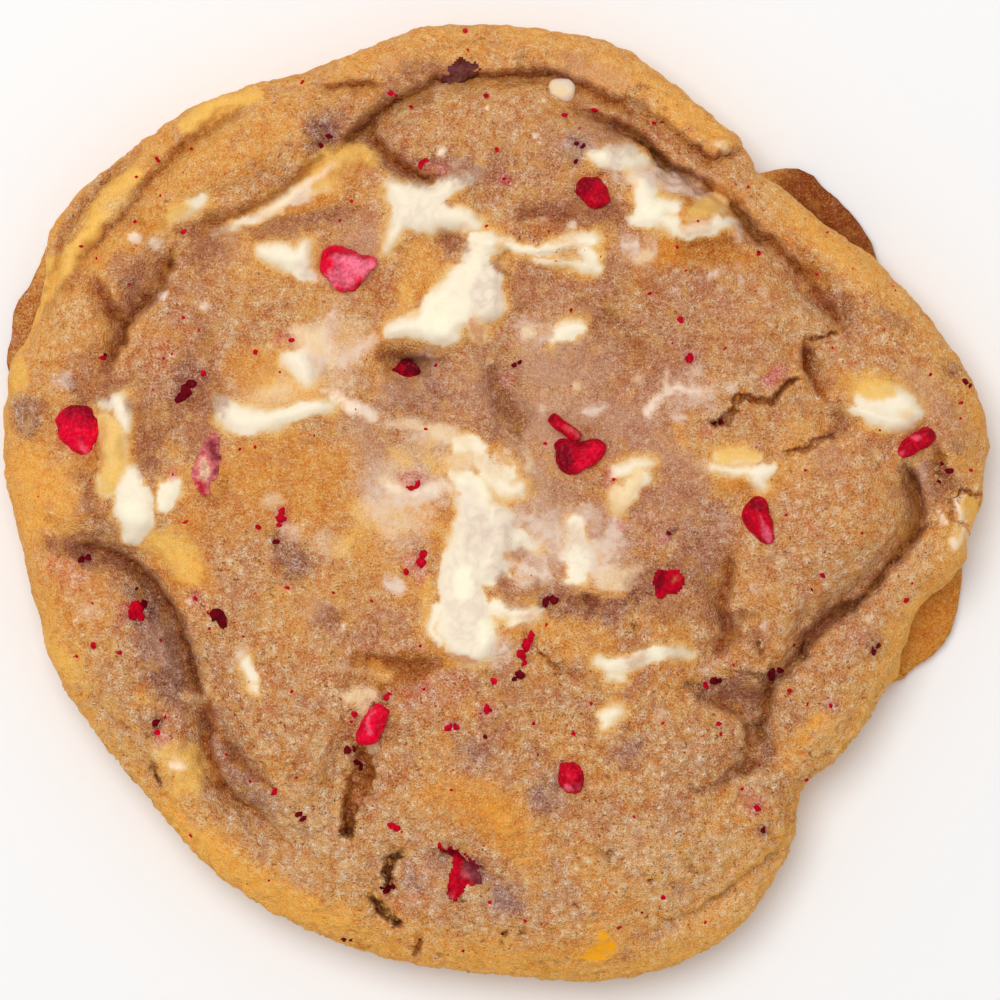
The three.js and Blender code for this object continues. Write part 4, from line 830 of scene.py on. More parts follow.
    ("brown", 1.2, 0.85, [(31.3, -19.2, 0.5), (33, -17.3, 0.6), (34.5, -15.5, 0.7), (35.5, -14, 0.8),
     (37, -12.9, 1), (38.5, -12, 0.9)], [(27, -29, 0.45), (25.5, -29.8, 0.5), (24, -30.8, 0.5),
     (22.5, -31.3, 0.5), (21, -31, 0.35)]),
    ("umber", 0.6, 0.75, [(46.5, -3.5, 0.35), (45.3, -4.8, 0.35), (44.3, -6, 0.3), (43, -7.2, 0.3),
     (42.2, -8.5, 0.35), (41, -10, 0.3), (39.8, -10.9, 0.4), (38.2, -12, 0.5), (36.6, -13.2, 0.5),
     (34.4, -15.2, 0.3), (33, -17, 0.25)], [(47, -3, 0.45), (47.7, -2.4, 0.35)]),
    ("rust", 1.2, 0.75, [(48.2, 6.2, 0.7), (48.7, 4.8, 1), (49, 3, 0.9)], [(34, 26, 0.4), (35, 25, 0.7),
     (36, 24, 0.5)]),
    ("rust", 0.5, 0.85, [(23.5, 9, 0.3), (24.5, 8.7, 0.5), (25.8, 9.8, 0.5), (26.4, 11.4, 0.45),
     (27, 11.8, 0.4), (28.5, 11, 0.5), (29.5, 11.3, 0.4), (30.4, 11.1, 0.5), (31.3, 12.7, 0.4),
     (32.2, 13.3, 0.35), (33.5, 13.8, 0.3)], [(31.3, 5.6, 0.2), (33, 5.8, 0.3), (35, 6.6, 0.35),
     (36.3, 7.3, 0.3)], [(33.6, 18.4, 0.35), (34, 17, 0.4), (34.2, 15, 0.35), (35, 13, 0.35),
     (36.2, 11.3, 0.45)], [(34.2, 17.7, 0.35), (35.5, 18, 0.35), (37.5, 18.8, 0.2)]),
    ("umber", 0.5, 0.8, [(8.3, -10.6, 0.5), (9.2, -10.5, 0.8), (10.6, -10.9, 0.7), (12, -11, 0.4)],
     [(16.6, -7.7, 0.4), (17.4, -8.3, 0.3)], [(14.7, -13, 0.2), (15, -14, 0.2)]),
    ("rust", 0.7, 0.65, [(20.3, -6.8, 0.5), (21, -6.3, 0.4)], [(9.3, 7.9, 0.5), (10.8, 8.3, 0.6),
     (11.6, 8.7, 0.3)], [(8.5, 32, 0.25), (11, 31.7, 0.35), (13.5, 31.6, 0.25)], [(3, 26.8, 0.2),
     (5, 26.8, 0.3), (7, 27, 0.3), (9, 27.2, 0.2)], [(1.2, 24.4, 0.3), (3, 24.7, 0.45),
     (4.2, 24.4, 0.3)], [(3.8, 23.1, 0.35), (4.5, 23, 0.3)], [(24.8, 1.4, 0.3), (26.3, 1.2, 0.35)],
     [(-7.2, 36, 0.15), (-6.2, 35.8, 0.2), (-5.5, 36.3, 0.2)]),
    ("brown", 0.8, 0.45, [(31.7, -36.5, 0.2), (30.5, -38.8, 0.25), (29, -40, 0.3), (27, -41.3, 0.4),
     (25, -43, 0.4), (23, -44.2, 0.4), (21, -45.3, 0.5), (19, -46.2, 0.6)], [(31, -29.5, 0.3),
     (31.5, -31.5, 0.4), (31.5, -33.5, 0.45), (31.3, -35, 0.4)]),
    ("rust", 0.3, 0.75, [(-45.2, -13.5, 0.12), (-44.8, -14.5, 0.12)], [(-44.9, -16.5, 0.12),
     (-44.7, -17.5, 0.12)], [(-17.4, 44.4, 0.25)], [(-19, -6.5, 0.2)]),
    ("coral", 0.6, 0.9, [(-14.9, -32.4, 0.5), (-15.3, -31.6, 0.3)], [(-15, -48.5, 0.7)],
     [(-15.2, -30.2, 0.3)]),
    ("marigold", 0.35, 0.95, [(11.6, -47.3, 0.6), (11.9, -48, 0.8), (12.4, -48.8, 0.8),
     (11, -49.2, 0.8), (10, -49.9, 0.5), (11.6, -49.9, 0.5)]),
    ("marigold", 0.5, 0.7, [(51.9, 0.4, 0.45), (52.4, -0.8, 0.6), (52.2, -1.8, 0.45)]),
    ("mauve", 5, 0.4, [(-11, 6, 3), (-4, 9, 3)], [(16, 4, 3), (16, 9, 3), (19, 12, 3)], [(4, 28, 2.5),
     (-4, 28, 2)], [(9, -7, 2.5), (13, -8, 2)], [(10, 8, 3)]),
    ("toast", 1.2, 0.65, [(3, 29.6, 0.8), (5.4, 30.4, 1.2), (7.8, 30.6, 0.9)]),
    ("taupe", 3, 0.5, [(-19.6, -11.4, 1.6)], [(36, 5, 1.8)]),
    ("sand", 5, 0.55, [(14, -38, 2.5), (20, -40.5, 3.5), (26, -38.5, 2.5)], [(-20, -33, 2),
     (-25, -37, 2.4)], [(-40, -28, 2.5), (-44, -20, 2)], [(40, -24, 2.5), (43, -19.4, 2)],
     [(36, -28, 2.5)], [(38, -6, 2)], [(30, 33, 2)], [(20, -44, 2.4), (16, -42, 2)], [(34, -38, 1),
     (30, -42, 2), (25, -46, 1.8), (18, -49, 1.2)]),
    ("sand", 3, 0.5, [(4, -8, 1.6)], [(-42, 32, 1), (-39.6, 33.6, 1.2)], [(-29, -34, 1.2)]),
    ("rust", 0.5, 0.8, [(14.6, 46.8, 0.25)], [(15.6, 45.9, 0.3), (16.6, 45.7, 0.2)],
     [(18.4, 43.6, 0.3)], [(18.9, 45.1, 0.2)]),
]

# Lighter and darker runs within the chocolate, and the dabs of it that lie by themselves.
runs = [
    ("milk", 1.4, 0.7, [(12.6, 37.3, 1), (13.6, 37.5, 0.9)]),
    ("milk", 2.4, 0.65, [(3.4, -7.6, 1.4)], [(2.6, -2.4, 1.2), (5, -3.6, 1.4), (7.6, -4.6, 1.2)],
     [(9.6, -1.2, 0.8)], [(11, -6.2, 1.4), (13.4, -5, 1)], [(2.4, -5.2, 1.2), (4, -6, 1)],
     [(-8.4, 7.6, 0.8), (-6, 7.4, 0.8)], [(-13.4, -0.8, 0.8), (-11, -2.4, 0.8)]),
    ("milk", 1.6, 0.3, [(16.6, 9.6, 0.6), (18, 12, 0.5), (20.6, 12.4, 0.5), (23.4, 12.2, 0.3)]),
    ("honey", 2, 0.6, [(-16.6, -4.6, 1), (-15.2, -3.6, 1)]),
    ("milk", 2.4, 0.5, [(-9, 31.4, 1.6), (-7, 32.6, 1.4)], [(8, -4, 1.6)], [(0, 4, 1.4)]),
    ("milk", 1.6, 0.7, [(15.6, 36.2, 1), (18.6, 35.8, 1.1), (21.6, 34.9, 1)], [(8, 39.2, 0.8),
     (10.2, 38.8, 0.8)], [(-19.8, 16.5, 1.5), (-18.6, 19.4, 1.1)], [(-16.6, 15.6, 0.9),
     (-14.4, 17.4, 0.8)], [(-3.6, 36.8, 1), (-1.8, 36.2, 0.8)], [(3, 19, 1), (5.4, 18.4, 0.9)],
     [(14.8, 27.8, 1.1)]),
    ("cream", 1.2, 0.75, [(-12, 8.6, 0.3), (-10, 8.8, 0.5), (-8, 8.2, 0.6), (-5.5, 7.6, 0.8),
     (-3.5, 6.7, 0.8)], [(-12.2, 2.4, 0.4), (-10.2, 1.4, 0.6), (-8, 1.2, 0.6), (-5.6, 2, 0.7)],
     [(-22, 18.6, 0.9), (-20, 17.6, 1.2), (-18.4, 16, 1)], [(-4.6, 4.2, 1.2), (-2.6, 5, 1)]),
    ("ivory", 0.8, 0.85, [(-11.6, 1.8, 0.4), (-9.4, 1.3, 0.5), (-7, 1.5, 0.5)], [(-18, 12.2, 0.3),
     (-15.8, 10.6, 0.5), (-13.4, 9.4, 0.6)], [(8, -5.8, 0.9), (9.4, -6.8, 0.9)], [(16.6, 9.8, 0.25)],
     [(-21.6, 14.6, 0.8), (-20.6, 16.6, 0.6)], [(-39.6, 29.1, 0.5)], [(-37.4, 28.4, 0.5)],
     [(-36.4, 22.7, 0.4)], [(-32, 21.5, 0.4)]),
    ("honey", 1.4, 0.5, [(45, 9.6, 0.7)]),
    ("honey", 1.4, 0.6, [(-11, 5.6, 0.7), (-9.6, 4.2, 0.7)], [(-7.2, 6.6, 0.6)]),
    ("milk", 1.6, 0.55, [(-3, 1, 1.2), (-2.6, -1.5, 1.4), (-2.8, -4, 1.8), (-3.4, -6.5, 2),
     (-3.6, -9, 2), (-3.2, -12, 2.2), (-3, -14.6, 2)], [(0.4, -3, 1.4), (0, -6, 1.4)]),
    ("bright", 1.2, 0.8, [(-3.6, -8.4, 0.8), (-3.5, -10, 0.9)], [(-1.2, -13.6, 0.7), (-1.2, -15, 0.8)],
     [(-4.6, 1.8, 0.4), (-3.2, 2.8, 0.5), (-1.8, 2.2, 0.5), (-1.2, 0.6, 0.5)]),
    ("amber", 1, 0.75, [(20.4, 33.2, 0.5), (21.8, 32.6, 0.9), (23.2, 31.9, 0.6)]),
    ("amber", 1.8, 0.55, [(-17.6, 35.9, 1), (-16, 36.8, 1.1), (-14.2, 37, 0.8)]),
    ("gold", 1.6, 0.85, [(-8.8, -0.8, 0.9), (-7.4, -1.8, 1.2), (-6.4, -3, 1)], [(3.6, -7.4, 1)]),
    ("milk", 0.8, 0.8, [(-0.6, 25, 1.4), (-1, 23.5, 1.6), (-0.8, 21.5, 1.6)], [(-1.8, -2.8, 1.5),
     (-2.8, -4.5, 0.8)], [(0.7, -1.5, 1), (1.1, -3.2, 1), (0.7, -5.5, 1.1), (-0.3, -7.5, 1)]),
    ("milk", 0.7, 0.7, [(-4, 36.5, 1), (-2.6, 36, 0.9)], [(17.2, 35.8, 1), (19.3, 35.2, 1.1),
     (21.3, 34.6, 1), (23, 34, 0.6)], [(-10.5, 0.3, 0.8), (-8, 0.7, 0.9), (-6, 1.6, 1)],
     [(-13.5, 0.6, 0.8), (-13, 1.5, 0.6)], [(-21.3, 25.2, 0.9), (-20, 24.8, 0.5)], [(26.6, 30.5, 0.8),
     (26.6, 29.2, 0.6)], [(13, 35.4, 0.6), (14.2, 35.2, 0.5)], [(-48.5, 13, 0.5), (-47.5, 13, 0.6),
     (-46.8, 14.2, 0.4)]),
    ("milk", 0.8, 0.8, [(-17.6, 21.3, 0.5), (-17.8, 19.5, 0.8), (-18.6, 17, 0.9), (-19.8, 15, 1.2)],
     [(-16.8, 15.2, 0.4), (-15.6, 16.6, 0.6), (-14, 17.4, 0.8), (-13.6, 18, 0.6)], [(16.8, 10, 0.4),
     (17.5, 11, 0.35), (18.8, 12, 0.3), (18.5, 13.6, 0.2)], [(19, 12.3, 0.2), (21, 12.2, 0.2),
     (23, 12.2, 0.4), (25, 12.5, 0.35), (26.3, 12.9, 0.3)], [(10.2, 10, 0.7), (11.5, 10.6, 0.5)],
     [(-11.5, -8.6, 0.9), (-10.8, -9.3, 0.8)], [(22.8, -18.4, 0.6)], [(-23, -2.8, 0.8),
     (-22.2, -3.2, 0.8)], [(-27.6, -15.8, 0.5), (-28.3, -16.8, 0.3)]),
    ("milk", 0.5, 0.65, [(19.5, 9.4, 0.4), (20.6, 9, 0.4)], [(5, 10.2, 0.4)], [(19.6, 23.3, 0.4)],
     [(23.5, 25, 0.4), (24.6, 25.5, 0.4)], [(26.8, 24.5, 0.4)], [(26.6, 25.9, 0.4)],
     [(29.2, 23.2, 0.4)], [(-36.6, 22.7, 0.5)], [(-32, 21.5, 0.6)], [(-39.3, 29, 0.6)],
     [(-37.5, 28.4, 0.5), (-36.4, 28.9, 0.4)], [(28.4, -9.3, 0.6)], [(14.2, 28.5, 0.6),
     (15, 28.1, 0.5)], [(16.7, 28.8, 0.6), (17.2, 28, 0.5)], [(-14.6, 10.2, 0.5), (-13.7, 9.8, 0.5),
     (-12.7, 8.9, 0.2)], [(-22, 33.2, 0.6), (-20.4, 33, 0.5)], [(11, -5, 1), (12.5, -4, 0.9),
     (13, -2.2, 0.9)], [(9.5, -0.8, 0.8), (11, -1.3, 0.7)], [(17.8, 37.5, 0.45), (17.6, 36.6, 0.5)],
     [(-6.3, 45.6, 0.5)], [(25.2, 9.5, 0.35)]),
    ("cream", 0.7, 0.75, [(12, -8.3, 1.4), (14, -8.3, 1.3), (15.5, -7.6, 0.9)], [(-16, -21.2, 0.8),
     (-14.5, -20.9, 0.7), (-13.2, -21.1, 0.6)], [(-14.5, -22.3, 0.8)], [(3.5, 18.7, 0.7)],
     [(24.4, 39.4, 0.4), (25.2, 38.9, 0.35)], [(16.6, 27, 0.6), (15.6, 26.4, 0.6)], [(51.2, 0.5, 0.5),
     (51.5, -1.5, 0.5), (50.8, -3.5, 0.7)], [(-20, 18.6, 1.2), (-19.6, 17, 1)], [(-33, -21, 0.2)],
     [(9, 12.6, 0.5)], [(15.5, 13.6, 0.5)], [(40.8, -12.7, 0.4)], [(-32.2, 15.5, 0.4)],
     [(-30.5, 15.3, 0.4)], [(3.4, 5.5, 0.4), (4, 3.5, 0.35)]),
    ("cream", 0.5, 0.8, [(-44.6, -11.8, 0.25)], [(-46.2, -12.9, 0.3)], [(-13.6, -26.7, 0.6)]),
    ("ivory", 0.4, 0.9, [(-33.6, -10.8, 0.35)], [(-16.7, -13.5, 0.35)], [(29.4, -13.4, 0.4)],
     [(-35.2, -28.7, 0.5), (-34.6, -29, 0.4)], [(-6.2, 38.1, 0.3), (-6, 38.6, 0.35)],
     [(0.2, 35.6, 0.3)], [(1.3, 5.7, 0.35)], [(-1, 43.4, 0.22)], [(5, 44, 0.2)], [(4.5, 40.1, 0.25)],
     [(5.1, 31, 0.2)], [(8.3, 30.4, 0.4)]),
    ("ivory", 0.25, 0.8, [(-19, 12.3, 0.15), (-18.2, 11.8, 0.15), (-17.5, 10.8, 0.15),
     (-16.3, 10.1, 0.15), (-15, 9.9, 0.12)], [(0.8, -7.4, 0.14), (1.8, -8.2, 0.14), (2.2, -9.4, 0.12)]),
    ("bright", 1, 0.9, [(-6, 21.5, 1.4), (-6.8, 19.5, 1.4)], [(-3.5, -7.5, 0.8), (-3.6, -9.5, 0.9)],
     [(-1.2, -13.2, 0.6), (-1.2, -14.8, 0.9)], [(17, 32, 0.9)], [(-22.4, 26.3, 0.7)],
     [(11.6, 37.8, 0.6)], [(-0.6, 3.6, 0.8), (1.2, 3.2, 0.8)], [(-39.8, -0.8, 1.2)], [(9.2, -6, 0.8)],
     [(15.5, -17, 0.5), (18, -16.5, 0.4)]),
    ("honey", 0.8, 0.9, [(-42.8, 8.6, 1.2), (-42, 6, 1.6), (-42.3, 3.5, 1.4), (-42.4, 1.6, 0.9)],
     [(21, 31.8, 0.8), (22.5, 32.3, 1), (24.3, 32.9, 0.8)], [(24.5, 5.1, 0.6), (26.5, 5.3, 0.8),
     (28.5, 5.2, 0.6)], [(-19.5, 34.8, 0.7), (-18, 35.6, 0.9), (-16.5, 37, 1.1)], [(40, 12.3, 0.8),
     (41.5, 12.2, 1.1), (43, 12.2, 0.8)], [(-20.6, 36.4, 0.6), (-18.4, 38.2, 0.9), (-15.6, 38.6, 1.1),
     (-13.2, 37.6, 0.8)], [(-37.4, 30, 0.5), (-35.6, 31.4, 0.8), (-34, 32.4, 0.6)]),
    ("honey", 0.7, 0.5, [(-7.4, 5.2, 0.7), (-6.5, 3.6, 0.7), (-5.4, 4.4, 0.6)], [(-9.6, 22.8, 0.8),
     (-9.8, 21.2, 0.9), (-8.8, 20.6, 0.6)], [(11.3, 28, 0.7), (11.4, 26.8, 0.6)], [(-7.3, -8.7, 0.5),
     (-7.4, -10, 0.7), (-8, -11.4, 0.5)], [(15.5, 3, 0.8), (15, 2, 0.9)], [(13.3, 1.2, 0.8),
     (13.5, -0.4, 0.7), (14.6, 0.8, 0.8)], [(50.5, -4.2, 0.8), (51.3, -4.6, 0.7)], [(18.2, 33.6, 0.5),
     (19.6, 33.5, 0.4)], [(-34.8, -28.2, 0.6)]),
    ("amber", 0.6, 0.8, [(-2.4, 19.6, 0.6), (-1.8, 18.2, 0.7)], [(21, 32.9, 0.45), (20.4, 31.6, 0.4)],
     [(1.4, -14, 0.4), (3, -13.6, 0.5), (3.6, -14.1, 0.3)], [(-7, -15.7, 0.7), (-5.5, -16.9, 0.6),
     (-4, -17.1, 0.5), (-2, -17.4, 0.3)], [(25.3, 2, 0.5), (26.6, 1.9, 0.7), (27.8, 1.6, 0.5)],
     [(-22.4, 32.2, 0.4), (-19, 33, 0.6), (-17.5, 33.5, 0.5)], [(-43.5, 6, 0.35), (-43.5, 3.5, 0.35)],
     [(-38.3, 30, 0.6), (-36.6, 30.6, 0.7)], [(-51.3, 15, 0.2), (-51, 13.5, 0.2)]),
    ("gold", 0.5, 0.75, [(-1, 5.8, 0.4), (0.3, 6.2, 0.5), (0.8, 5, 0.6), (1.4, 4.2, 0.4)],
     [(1.2, -5.8, 0.5), (2.4, -6.4, 0.6), (3.6, -7.6, 0.7), (2.6, -8.2, 0.5)], [(14.7, 34, 0.35),
     (14.9, 32.6, 0.45)], [(10.4, -9.8, 0.35), (12, -10.2, 0.35), (14, -9.9, 0.4)], [(-4.7, 2.2, 0.15),
     (-4.4, 1.2, 0.18), (-3.8, 0.8, 0.15)], [(13.2, -16.8, 0.3), (14.5, -16.5, 0.3)],
     [(-13.2, -18, 0.8), (-12, -18.8, 0.7)], [(19.8, 8.3, 0.6), (20.5, 7, 0.7)]),
    ("mauve", 0.7, 0.7, [(0.5, -8.2, 0.6), (1.8, -9.5, 0.8), (1.6, -11, 0.7), (3.2, -11, 0.5)],
     [(-5, 32.6, 0.4)], [(2.5, -5.5, 0.8), (4.5, -7, 0.8)]),
    ("milk", 2, 0.8, [(4, -7.4, 2)], [(0.4, -16.4, 1.4)]),
    ("milk", 2.2, 0.6, [(4.6, -7.8, 1.4)], [(6, -2.6, 1.6), (8.6, -4.6, 1.4), (11.4, -7, 1.2)],
     [(-8.4, -1.6, 1.4)], [(0.6, -16, 1.4)], [(-7.6, 15.8, 1)]),
    ("sand", 2, 0.45, [(0, 4, 1.4)], [(-12, 36, 1.2)], [(-20, 20, 1)], [(8, 28, 1.2)], [(8, -3.6, 1)],
     [(-4, 28, 1)]),
    ("tan", 2, 0.5, [(-36, 4, 1.2)], [(4, -12.4, 1)]),
    ("amber", 1.8, 0.5, [(-17.4, 35.6, 1), (-14.8, 36.8, 1)], [(16, 24.4, 1)]),
    ("rust", 0.4, 0.7, [(-3.7, 33.2, 0.4)], [(1.3, 27.5, 0.12), (0.2, 26.6, 0.18), (0.5, 25.6, 0.15)],
     [(15.6, 29.5, 0.35), (15.9, 28.6, 0.3)], [(51.6, 0.2, 0.2), (51.8, -0.6, 0.2)]),
]

# Painted shade in the crust beside the chocolate, where raspberry and dough lie deeper,
# then more stains and tints laid over all.
late_shade_and_stains = [
    ("cocoa", 1.6, 0.8, [(-42.2, 16, 0.5), (-42.9, 13.8, 0.8), (-43.4, 12.2, 0.7)], [(-49.2, -4.5, 0.8),
     (-47, -4.6, 1.2), (-44.6, -4.8, 1.2)], [(-46.6, 3.2, 0.5), (-44.9, 2.6, 0.7), (-44.6, -0.4, 0.6)],
     [(-13.2, 39.6, 0.7), (-11.4, 37.8, 1), (-9.4, 36.4, 1.2), (-7, 35.9, 1.1), (-4.8, 36.4, 0.8),
     (-2.6, 37, 0.6)], [(3.6, 32, 0.7), (7, 31.9, 0.9), (10.6, 31.9, 1), (13.6, 31.6, 0.7)],
     [(-26, 29.6, 0.8), (-22.6, 30.2, 0.9), (-19.4, 31, 0.9), (-16.6, 32, 0.7)], [(4.2, -9.6, 1),
     (7.4, -10, 1.1), (10, -10.8, 0.8), (13, -11.2, 0.9)], [(34.6, -14.4, 0.7), (36.8, -13, 1)],
     [(47.6, 4.4, 1), (48.6, 2.6, 1), (47.8, 0, 0.9)], [(-5.6, 29, 0.8), (-3.8, 28, 0.7)],
     [(16.6, -8.6, 1), (20.8, -6.4, 1)], [(24.2, -20.8, 0.8), (27.4, -20.6, 1), (29.4, -22.6, 0.7)],
     [(42.4, 20.8, 0.7), (44.6, 19.4, 0.9)], [(-10, 47.4, 0.9), (-7.4, 47.8, 1.1), (-5.4, 47.2, 0.8)]),
    ("rust", 1.6, 0.6, [(33.6, 27.4, 0.6), (34.8, 25.6, 0.9), (36.2, 23, 1), (37.4, 20.8, 0.8)]),
    ("taupe", 3, 0.5, [(46, 14, 1.5), (50.4, 8, 1.6)], [(10, 41, 1.6), (14, 39.6, 1)], [(-30, 28, 2)],
     [(8, 48, 1.5), (14, 46.6, 1)], [(-12, 48.4, 1)]),
    ("cocoa", 1.6, 0.75, [(-38.6, 10.8, 0.8), (-37.8, 8, 1.3), (-38.3, 5.4, 1.1), (-38.9, 3.8, 0.5)],
     [(-45.8, 12.6, 0.8), (-44.3, 12.3, 0.9), (-43.5, 13.8, 0.8)], [(-48.2, -4.4, 0.6), (-46, -5.2, 1),
     (-43.4, -6, 1.1), (-41, -6.8, 0.8)]),
    ("cocoa", 3.2, 0.8, [(-32, 12, 2.8)], [(-32, 28, 2.6)], [(-44, 12.6, 1.6)], [(-37.2, 4.6, 1.2)],
     [(12, 31.6, 1.2)], [(0, 36, 1.6), (-3.6, 35.8, 1)], [(16, -8.4, 1.4)], [(28.6, -14.6, 1)],
     [(25, -13, 1)]),
    ("taupe", 2.2, 0.55, [(-37.4, -13.6, 1.2), (-36.6, -17, 1.4)]),
    ("cocoa", 1.6, 0.7, [(-44.6, 12.6, 1.2), (-41.4, 13.2, 0.8)], [(-40, 10.6, 0.8)]),
    ("cocoa", 1, 0.85, [(-45.4, 13.4, 0.5), (-43.6, 13.2, 0.7), (-42.4, 14.2, 0.6)],
     [(-44.2, 11.4, 0.5)]),
    ("mauve", 3, 0.6, [(50, 10.6, 1.6), (51.4, 6.6, 1.4), (48.6, 8, 1.2)], [(15.4, 12, 1.4),
     (17.4, 13.4, 1.4)], [(26, -3.6, 1.4)]),
    ("toast", 2.4, 0.5, [(16, 24.4, 1.2)], [(-16, 36.4, 1.2)]),
    ("honey", 1.2, 0.6, [(-36.4, -4.6, 0.9), (-34.6, -6.6, 1.1), (-33.6, -8.2, 0.8)]),
    ("amber", 0.8, 0.4, [(-33.6, -9.2, 0.4), (-34.8, -9, 0.4)]),
    ("sand", 1.4, 0.5, [(-34.2, -33, 0.8), (-32.6, -35, 0.8)]),
    ("plum", 1, 0.5, [(50.5, 14.6, 0.7)], [(50.8, 6.2, 0.7)]),
    ("mauve", 2.8, 0.5, [(36, 4, 1.8)], [(20, 0, 1.6)], [(12, 40, 1.4)], [(-32, 16, 1.6)],
     [(16, 8, 1.2)]),
    ("brown", 2.4, 0.4, [(0, 8, 1.4)], [(-4, 28, 1)], [(20, -16.6, 1)]),
    ("toast", 2.4, 0.5, [(36, 24, 1.4)], [(15.6, -17.4, 1)], [(-44.4, 12.6, 1.2)]),
    ("sand", 3, 0.45, [(16, 44, 1.4)], [(28, -24, 1.4)], [(42, -22, 1.6)]),
    ("sand", 6, 0.5, [(18, -39, 3), (26, -39, 3)], [(19, -45, 3), (24, -43, 2.4)], [(-22, -35, 2.6)],
     [(-42, -25, 2.4)], [(36, -28, 2)]),
    ("honey", 1.2, 0.7, [(51.6, -0.6, 1), (51.4, -2.8, 1.1), (50.6, -4.4, 0.9)]),
    ("ivory", 0.6, 0.6, [(51, -2.2, 0.35)], [(50.2, -4.2, 0.4)], [(52, -3.6, 0.3)]),
    ("plum", 1.6, 0.4, [(-51.4, 10.6, 1.3), (-51, 8.2, 1)], [(-19.4, 40.8, 1.4), (-18, 39.6, 1)]),
    ("amber", 1.6, 0.55, [(21, 30.6, 1), (23, 30.8, 0.8)]),
    ("heather", 1.2, 0.7, [(8.7, 39.2, 0.9), (8.7, 37.8, 0.9)]),
    ("apricot", 2.4, 0.45, [(-47.6, 3.4, 1.2), (-47.4, 0.4, 1.6), (-46.8, -2.2, 1)]),
    ("heather", 1.4, 0.8, [(-52.4, 11, 1.2), (-51.6, 8.8, 1.3)], [(-46.6, 13.2, 0.6)]),
    ("rust", 0.6, 0.8, [(-31, 30.9, 0.2), (-28, 31.7, 0.25), (-25.6, 33, 0.3), (-23.6, 34.2, 0.35),
     (-21.4, 36.2, 0.35), (-19.4, 38, 0.3)], [(-13.3, 41.6, 0.25), (-13.4, 40, 0.35),
     (-11.5, 38.2, 0.4), (-9.8, 36.9, 0.4), (-8, 35.8, 0.35)], [(-12.6, 17.2, 0.3), (-12.9, 15.8, 0.35),
     (-11.6, 14.8, 0.3)], [(-0.4, 26.4, 0.25), (0.6, 25.4, 0.35), (1.6, 24.8, 0.3)],
     [(-44.2, 2.2, 0.25), (-43.9, 5, 0.25), (-43.9, 8, 0.2)], [(-41.6, 12.2, 0.2), (-42.8, 11.8, 0.2)]),
    ("rose", 1.2, 0.55, [(-8.8, -6.5, 1.1), (-8.3, -7.8, 0.8)], [(-9.8, 2.5, 0.9), (-8.5, 2.8, 0.8)],
     [(-36.7, -25.8, 0.9)], [(28.4, -33.2, 1)], [(36.7, -22.3, 0.8)], [(-23.5, -1.4, 0.8)],
     [(-33, -10.4, 0.6)], [(-40.6, -11.6, 0.9)], [(0.9, 35.3, 0.8)], [(1.2, 13.6, 0.8)],
     [(-35.3, 3.2, 0.6)], [(-7, 36.6, 0.5), (-5.8, 36.4, 0.5)], [(-23.7, 18, 0.6), (-22.5, 17.9, 0.6)],
     [(12.5, 3.2, 0.45), (12.3, 2.3, 0.4)], [(-5, -24.5, 0.7)], [(-1, -22.5, 1)], [(13.6, -2.6, 0.4)],
     [(18.2, -4, 0.5)], [(16.3, 1.2, 0.3)], [(21.2, 15.9, 0.7)]),
    ("plum", 1.6, 0.6, [(-38.2, -12.2, 1.1)], [(-24, -3.6, 0.7)], [(-18.6, 40.2, 0.9)],
     [(4.8, -11, 0.5), (5.6, -10.6, 0.7)], [(-40.4, 24, 0.4)], [(-52, 9.8, 0.6)], [(29.3, -36, 0.7)],
     [(-17.8, -47.5, 0.3)], [(41.8, -16, 0.6)], [(3.6, -15.4, 0.7)], [(-45.2, -6.1, 0.5)],
     [(2.8, 48.8, 0.4)], [(-8.4, 44.6, 0.8)], [(30.6, -18.7, 0.5)]),
    ("heather", 2.4, 0.7, [(-0.6, -41.6, 0.8), (0.6, -43.2, 1.1), (2.4, -44.2, 0.7)], [(5, -32.2, 1.1)],
     [(-9.4, -41.2, 1)]),
    ("sand", 0.8, 0.9, [(-34.2, -21.2, 0.6), (-32.4, -22, 0.6)]),
    ("rust", 0.9, 0.7, [(-32.2, -22.9, 0.3), (-31.4, -21.6, 0.3)]),
    ("rose", 0.9, 0.8, [(29.9, 13.4, 0.6), (31.2, 14.4, 0.7)]),
    ("crimson", 1, 0.3, [(30.4, 13.6, 0.6)]),
    ("ivory", 0.7, 0.6, [(16.6, 10.2, 0.5), (17.6, 11.2, 0.4), (18.8, 12.3, 0.3), (21, 12.5, 0.2),
     (23.5, 12.3, 0.15)], [(18.6, 12.4, 0.25), (18.6, 14, 0.15)]),
    ("ivory", 0.5, 0.85, [(50.4, 0.4, 0.25), (51, -1.4, 0.25), (51.6, -2.8, 0.3), (50.4, -4.8, 0.4)],
     [(48.6, -0.8, 0.15), (49.4, -2.2, 0.25)], [(52.8, 1.6, 0.3)]),
    ("honey", 0.7, 0.9, [(52.2, 0, 0.5), (52.6, -1.4, 0.5)]),
    ("plum", 0.6, 0.85, [(-3.2, -38.6, 0.5), (-1.9, -39.8, 0.7), (-2, -41, 0.7)], [(30, -18.9, 0.4),
     (31.2, -18.4, 0.35)], [(18.7, -3.5, 0.3), (19.6, -2.9, 0.3)], [(-24.3, -3.9, 0.35),
     (-23.7, -4.6, 0.3)]),
]

